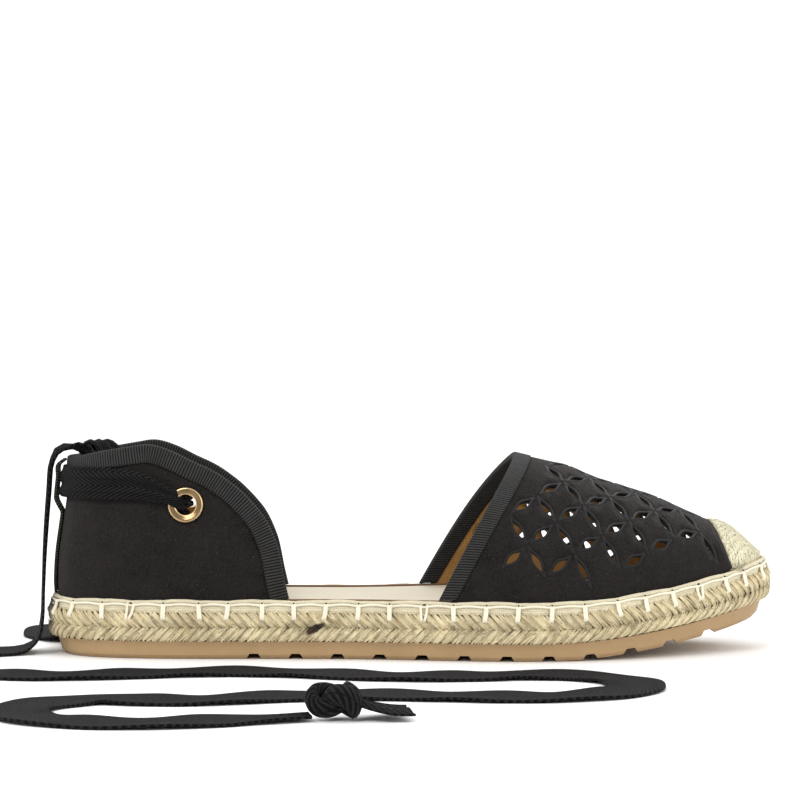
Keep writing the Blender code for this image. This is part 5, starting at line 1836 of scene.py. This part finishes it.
class EspadrilleEyelets(bpy.types.Operator):
    """Roll the two gilt eyelets"""

    bl_idname = "espadrille.eyelets"
    bl_label = "Eyelets"

    def execute(self, context):
        seat = CLEARANCE + EYELET_SAG
        back = UPPER_WALL + seat
        profile = (
            (EYELET_BORE, -back - EYELET_RIM),
            (EYELET_RADIUS - 0.0010, -back - EYELET_RIM),
            (EYELET_RADIUS - 0.0006, -back - 0.0003),
            (EYELET_RADIUS - 0.0008, -back),
            (EYELET_BORE + EYELET_BARREL, -back),
            (EYELET_BORE + EYELET_BARREL, seat),
            (EYELET_RADIUS, seat),
            (EYELET_RADIUS - 0.0001, seat + 0.5 * EYELET_RIM),
            (EYELET_RADIUS - 0.0006, seat + 0.95 * EYELET_RIM),
            (EYELET_RADIUS - 0.0012, seat + 0.80 * EYELET_RIM),
            (EYELET_BORE + 0.0012, seat + 0.55 * EYELET_RIM),
            (EYELET_BORE + 0.0005, seat + 0.62 * EYELET_RIM),
            (EYELET_BORE + 0.0001, seat + 0.25 * EYELET_RIM),
        )
        for label, side, suffix in SIDES:
            work = bmesh.new()
            ring = [work.verts.new((r, 0, h)) for r, h in profile]
            edges = [work.edges.new((ring[i], ring[(i + 1) % len(ring)])) for i in range(len(ring))]
            bmesh.ops.spin(
                work, geom=ring + edges, cent=(0, 0, 0), axis=(0, 0, 1), dvec=(0, 0, 0), angle=2 * math.pi,
                steps=56, use_merge=True,
            )
            bmesh.ops.remove_doubles(work, verts=work.verts, dist=0.000004)
            bmesh.ops.recalc_face_normals(work, faces=work.faces)
            # Faces of the middle band take the darker gold: a painted dark reflection, as the white room has nothing
            # dark for the metal to mirror.
            for face in work.faces:
                middle = face.calc_center_median()
                if middle.z > seat and EYELET_BORE + 0.0007 < middle.xy.length < EYELET_RADIUS - 0.0008:
                    face.material_index = 1
            middle, way = eyelet_place(side)
            turn = way.to_track_quat("Z", "Y").to_matrix().to_4x4()
            bmesh.ops.transform(work, matrix=Matrix.Translation(middle) @ turn, verts=work.verts)
            looks = [finish("gilt"), finish("gilt_dish")]
            made = piece(f"gilt_eyelet_{label}", work, looks, "eyelet_gilt" + suffix, f"eyelet_{label}")
            made.data.set_sharp_from_angle(angle=math.radians(50))
        return {"FINISHED"}


class EspadrilleHeelTape(bpy.types.Operator):
    """Lead the folded tape from one eyelet round the heel to the other"""

    bl_idname = "espadrille.heel_tape"
    bl_label = "Tape round the heel"

    def execute(self, context):
        ends = {side: arc_of(TAPE[0][0], side) for side in (LATERAL, MEDIAL)}
        holes = {side: arc_of(EYELET_STATION, side) for side in (LATERAL, MEDIAL)}
        low, high = -holes[LATERAL], holes[MEDIAL]

        def place(u, v):
            arc = low + (high - low) * u
            side = MEDIAL if arc >= 0 else LATERAL
            s = 2 * v - 1
            near = max(0.0, (abs(arc) - ends[side]) / (holes[side] - ends[side]))
            x = outline(UPPER_EDGE[side].turn_at(min(abs(arc), ends[side])), side, UPPER_INSET).x
            station = station_of(x)
            station -= station_of(UPPER_EDGE[side].points[0].x) * (1 - station / TAPE[0][0])
            height, wide, thick = (follow(TAPE, column, station) for column in (1, 2, 3))
            level = height * COLLAR_RISE * (1 - near) + EYELET_HEIGHT * near
            level += 0.0006 * math.sin(math.pi * near)
            half = wide * FOLDED_WIDTH / 2 * (1 - near) + 0.0029 * near
            out = tape_stand_off() + FOLDED_THICKNESS * (thick - 1)
            fold = 0.00034 * math.sin(2.2 * math.pi * s + 40 * arc)
            fold += 0.00030 * math.sin(5.1 * s + 190 * arc)
            crown = FOLDED_THICKNESS * (1.0 - 0.42 * s**4)
            out = (out + crown + fold) * (1 - near) + near * 0.0016
            if near > 0.45:
                out -= 0.0042 * ((near - 0.45) / 0.55) ** 1.4
            return heel_point(arc, level + s * half, out)

        work = sheet_grid(place, 150, 18, (high - low), TAPE_WIDTH * 0.72)
        aim_outwards(work, HEEL_MIDDLE)
        made = piece("folded_tape", work, [finish("cotton")], "heel_cotton", "heel_tape")
        walled(made, FOLDED_THICKNESS * 0.8)
        return {"FINISHED"}


CAMERA_PLACE = Vector((-0.0433, -0.9926, 0.1132))
CAMERA_AIM = Vector((-0.0063, 0.0, 0.0915))
CAMERA_LENS = 126.0


class EspadrilleStage(bpy.types.Operator):
    """Set the camera at the photograph's angle, the pale floor and the soft light"""

    bl_idname = "espadrille.stage"
    bl_label = "Stage"

    def execute(self, context):
        scene = context.scene
        lens = bpy.data.cameras.new("Camera")
        lens.lens = CAMERA_LENS
        lens.sensor_width = 36
        lens.clip_end = 20
        camera = bpy.data.objects.new("Camera", lens)
        scene.collection.objects.link(camera)
        camera.location = CAMERA_PLACE
        camera.rotation_euler = (CAMERA_AIM - CAMERA_PLACE).to_track_quat("-Z", "Y").to_euler()
        scene.camera = camera

        work = bmesh.new()
        bmesh.ops.create_grid(work, x_segments=1, y_segments=1, size=6)
        mesh = bpy.data.meshes.new("floor")
        work.to_mesh(mesh)
        work.free()
        floor = bpy.data.objects.new("floor", mesh)
        floor.location = (0, 0, -0.0001)
        scene.collection.objects.link(floor)
        pale = Finish("Pale floor", 0.9, specular=0.1)
        pale.shader.inputs["Base Color"].default_value = (0.965, 0.965, 0.965, 1)
        mesh.materials.append(pale.material)
        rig.stage(floor)

        world = bpy.data.worlds.new("Soft daylight")
        world.use_nodes = True
        world.node_tree.nodes["Background"].inputs["Color"].default_value = (1, 1, 1, 1)
        world.node_tree.nodes["Background"].inputs["Strength"].default_value = 1.06
        scene.world = world
        for name, place, aim, wide, power in (
            ("Key", (-0.7, -1.3, 1.3), (-0.02, 0, 0.04), 0.7, 12.0),
            ("Fill", (1.1, -1.0, 0.7), (0.02, 0, 0.04), 1.0, 4.0),
            ("Back", (0.1, 1.2, 1.2), (0, 0, 0.04), 1.0, 7.0),
        ):
            light = bpy.data.lights.new(name, "AREA")
            light.energy = power
            light.size = wide
            lamp = bpy.data.objects.new(name, light)
            lamp.location = place
            lamp.rotation_euler = (Vector(aim) - Vector(place)).to_track_quat("-Z", "Y").to_euler()
            scene.collection.objects.link(lamp)
        scene.view_settings.view_transform = "Standard"
        scene.view_settings.look = "None"
        scene.view_settings.exposure = 0.0
        return {"FINISHED"}


STEPS = (
    EspadrilleStage,
    EspadrilleTies,
    EspadrilleOutsole,
    EspadrilleBraid,
    EspadrilleWelt,
    EspadrilleStitches,
    EspadrilleFootbed,
    EspadrilleVamp,
    EspadrilleThroatRibbon,
    EspadrilleToeCap,
    EspadrilleCounter,
    EspadrilleCollarRibbon,
    EspadrilleBackStrip,
    EspadrilleEyelets,
    EspadrilleHeelTape,
)


class EspadrillePanel(bpy.types.Panel):
    """Lists the shoe's steps, sizes and colours"""

    bl_idname = "VIEW3D_PT_espadrille"
    bl_label = "Espadrille"
    bl_space_type = "VIEW_3D"
    bl_region_type = "UI"
    bl_category = "Espadrille"

    def draw(self, context):
        for settings in (context.scene.espadrille_sizes, context.scene.espadrille_colours):
            box = self.layout.box()
            for name in settings.__annotations__:
                box.prop(settings, name)
        for step in STEPS:
            self.layout.operator(step.bl_idname)


CLASSES = (EspadrilleColours, EspadrilleSizes, *STEPS, EspadrillePanel)


def register():
    for entry in CLASSES:
        bpy.utils.register_class(entry)
    bpy.types.Scene.espadrille_colours = PointerProperty(type=EspadrilleColours)
    bpy.types.Scene.espadrille_sizes = PointerProperty(type=EspadrilleSizes)


def unregister():
    del bpy.types.Scene.espadrille_sizes
    del bpy.types.Scene.espadrille_colours
    for entry in reversed(CLASSES):
        bpy.utils.unregister_class(entry)


def main():
    register()
    for step in STEPS:
        getattr(bpy.ops.espadrille, step.bl_idname.split(".")[1])()
    bpy.context.view_layer.update()
    boxes = {
        "cad": [list(corner) for corner in CAD_BOX],
        "visual": [list(corner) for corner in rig.bounds()],
    }
    with open("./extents.json", "w") as report:
        json.dump(boxes, report)


if __name__ == "__main__":
    main()
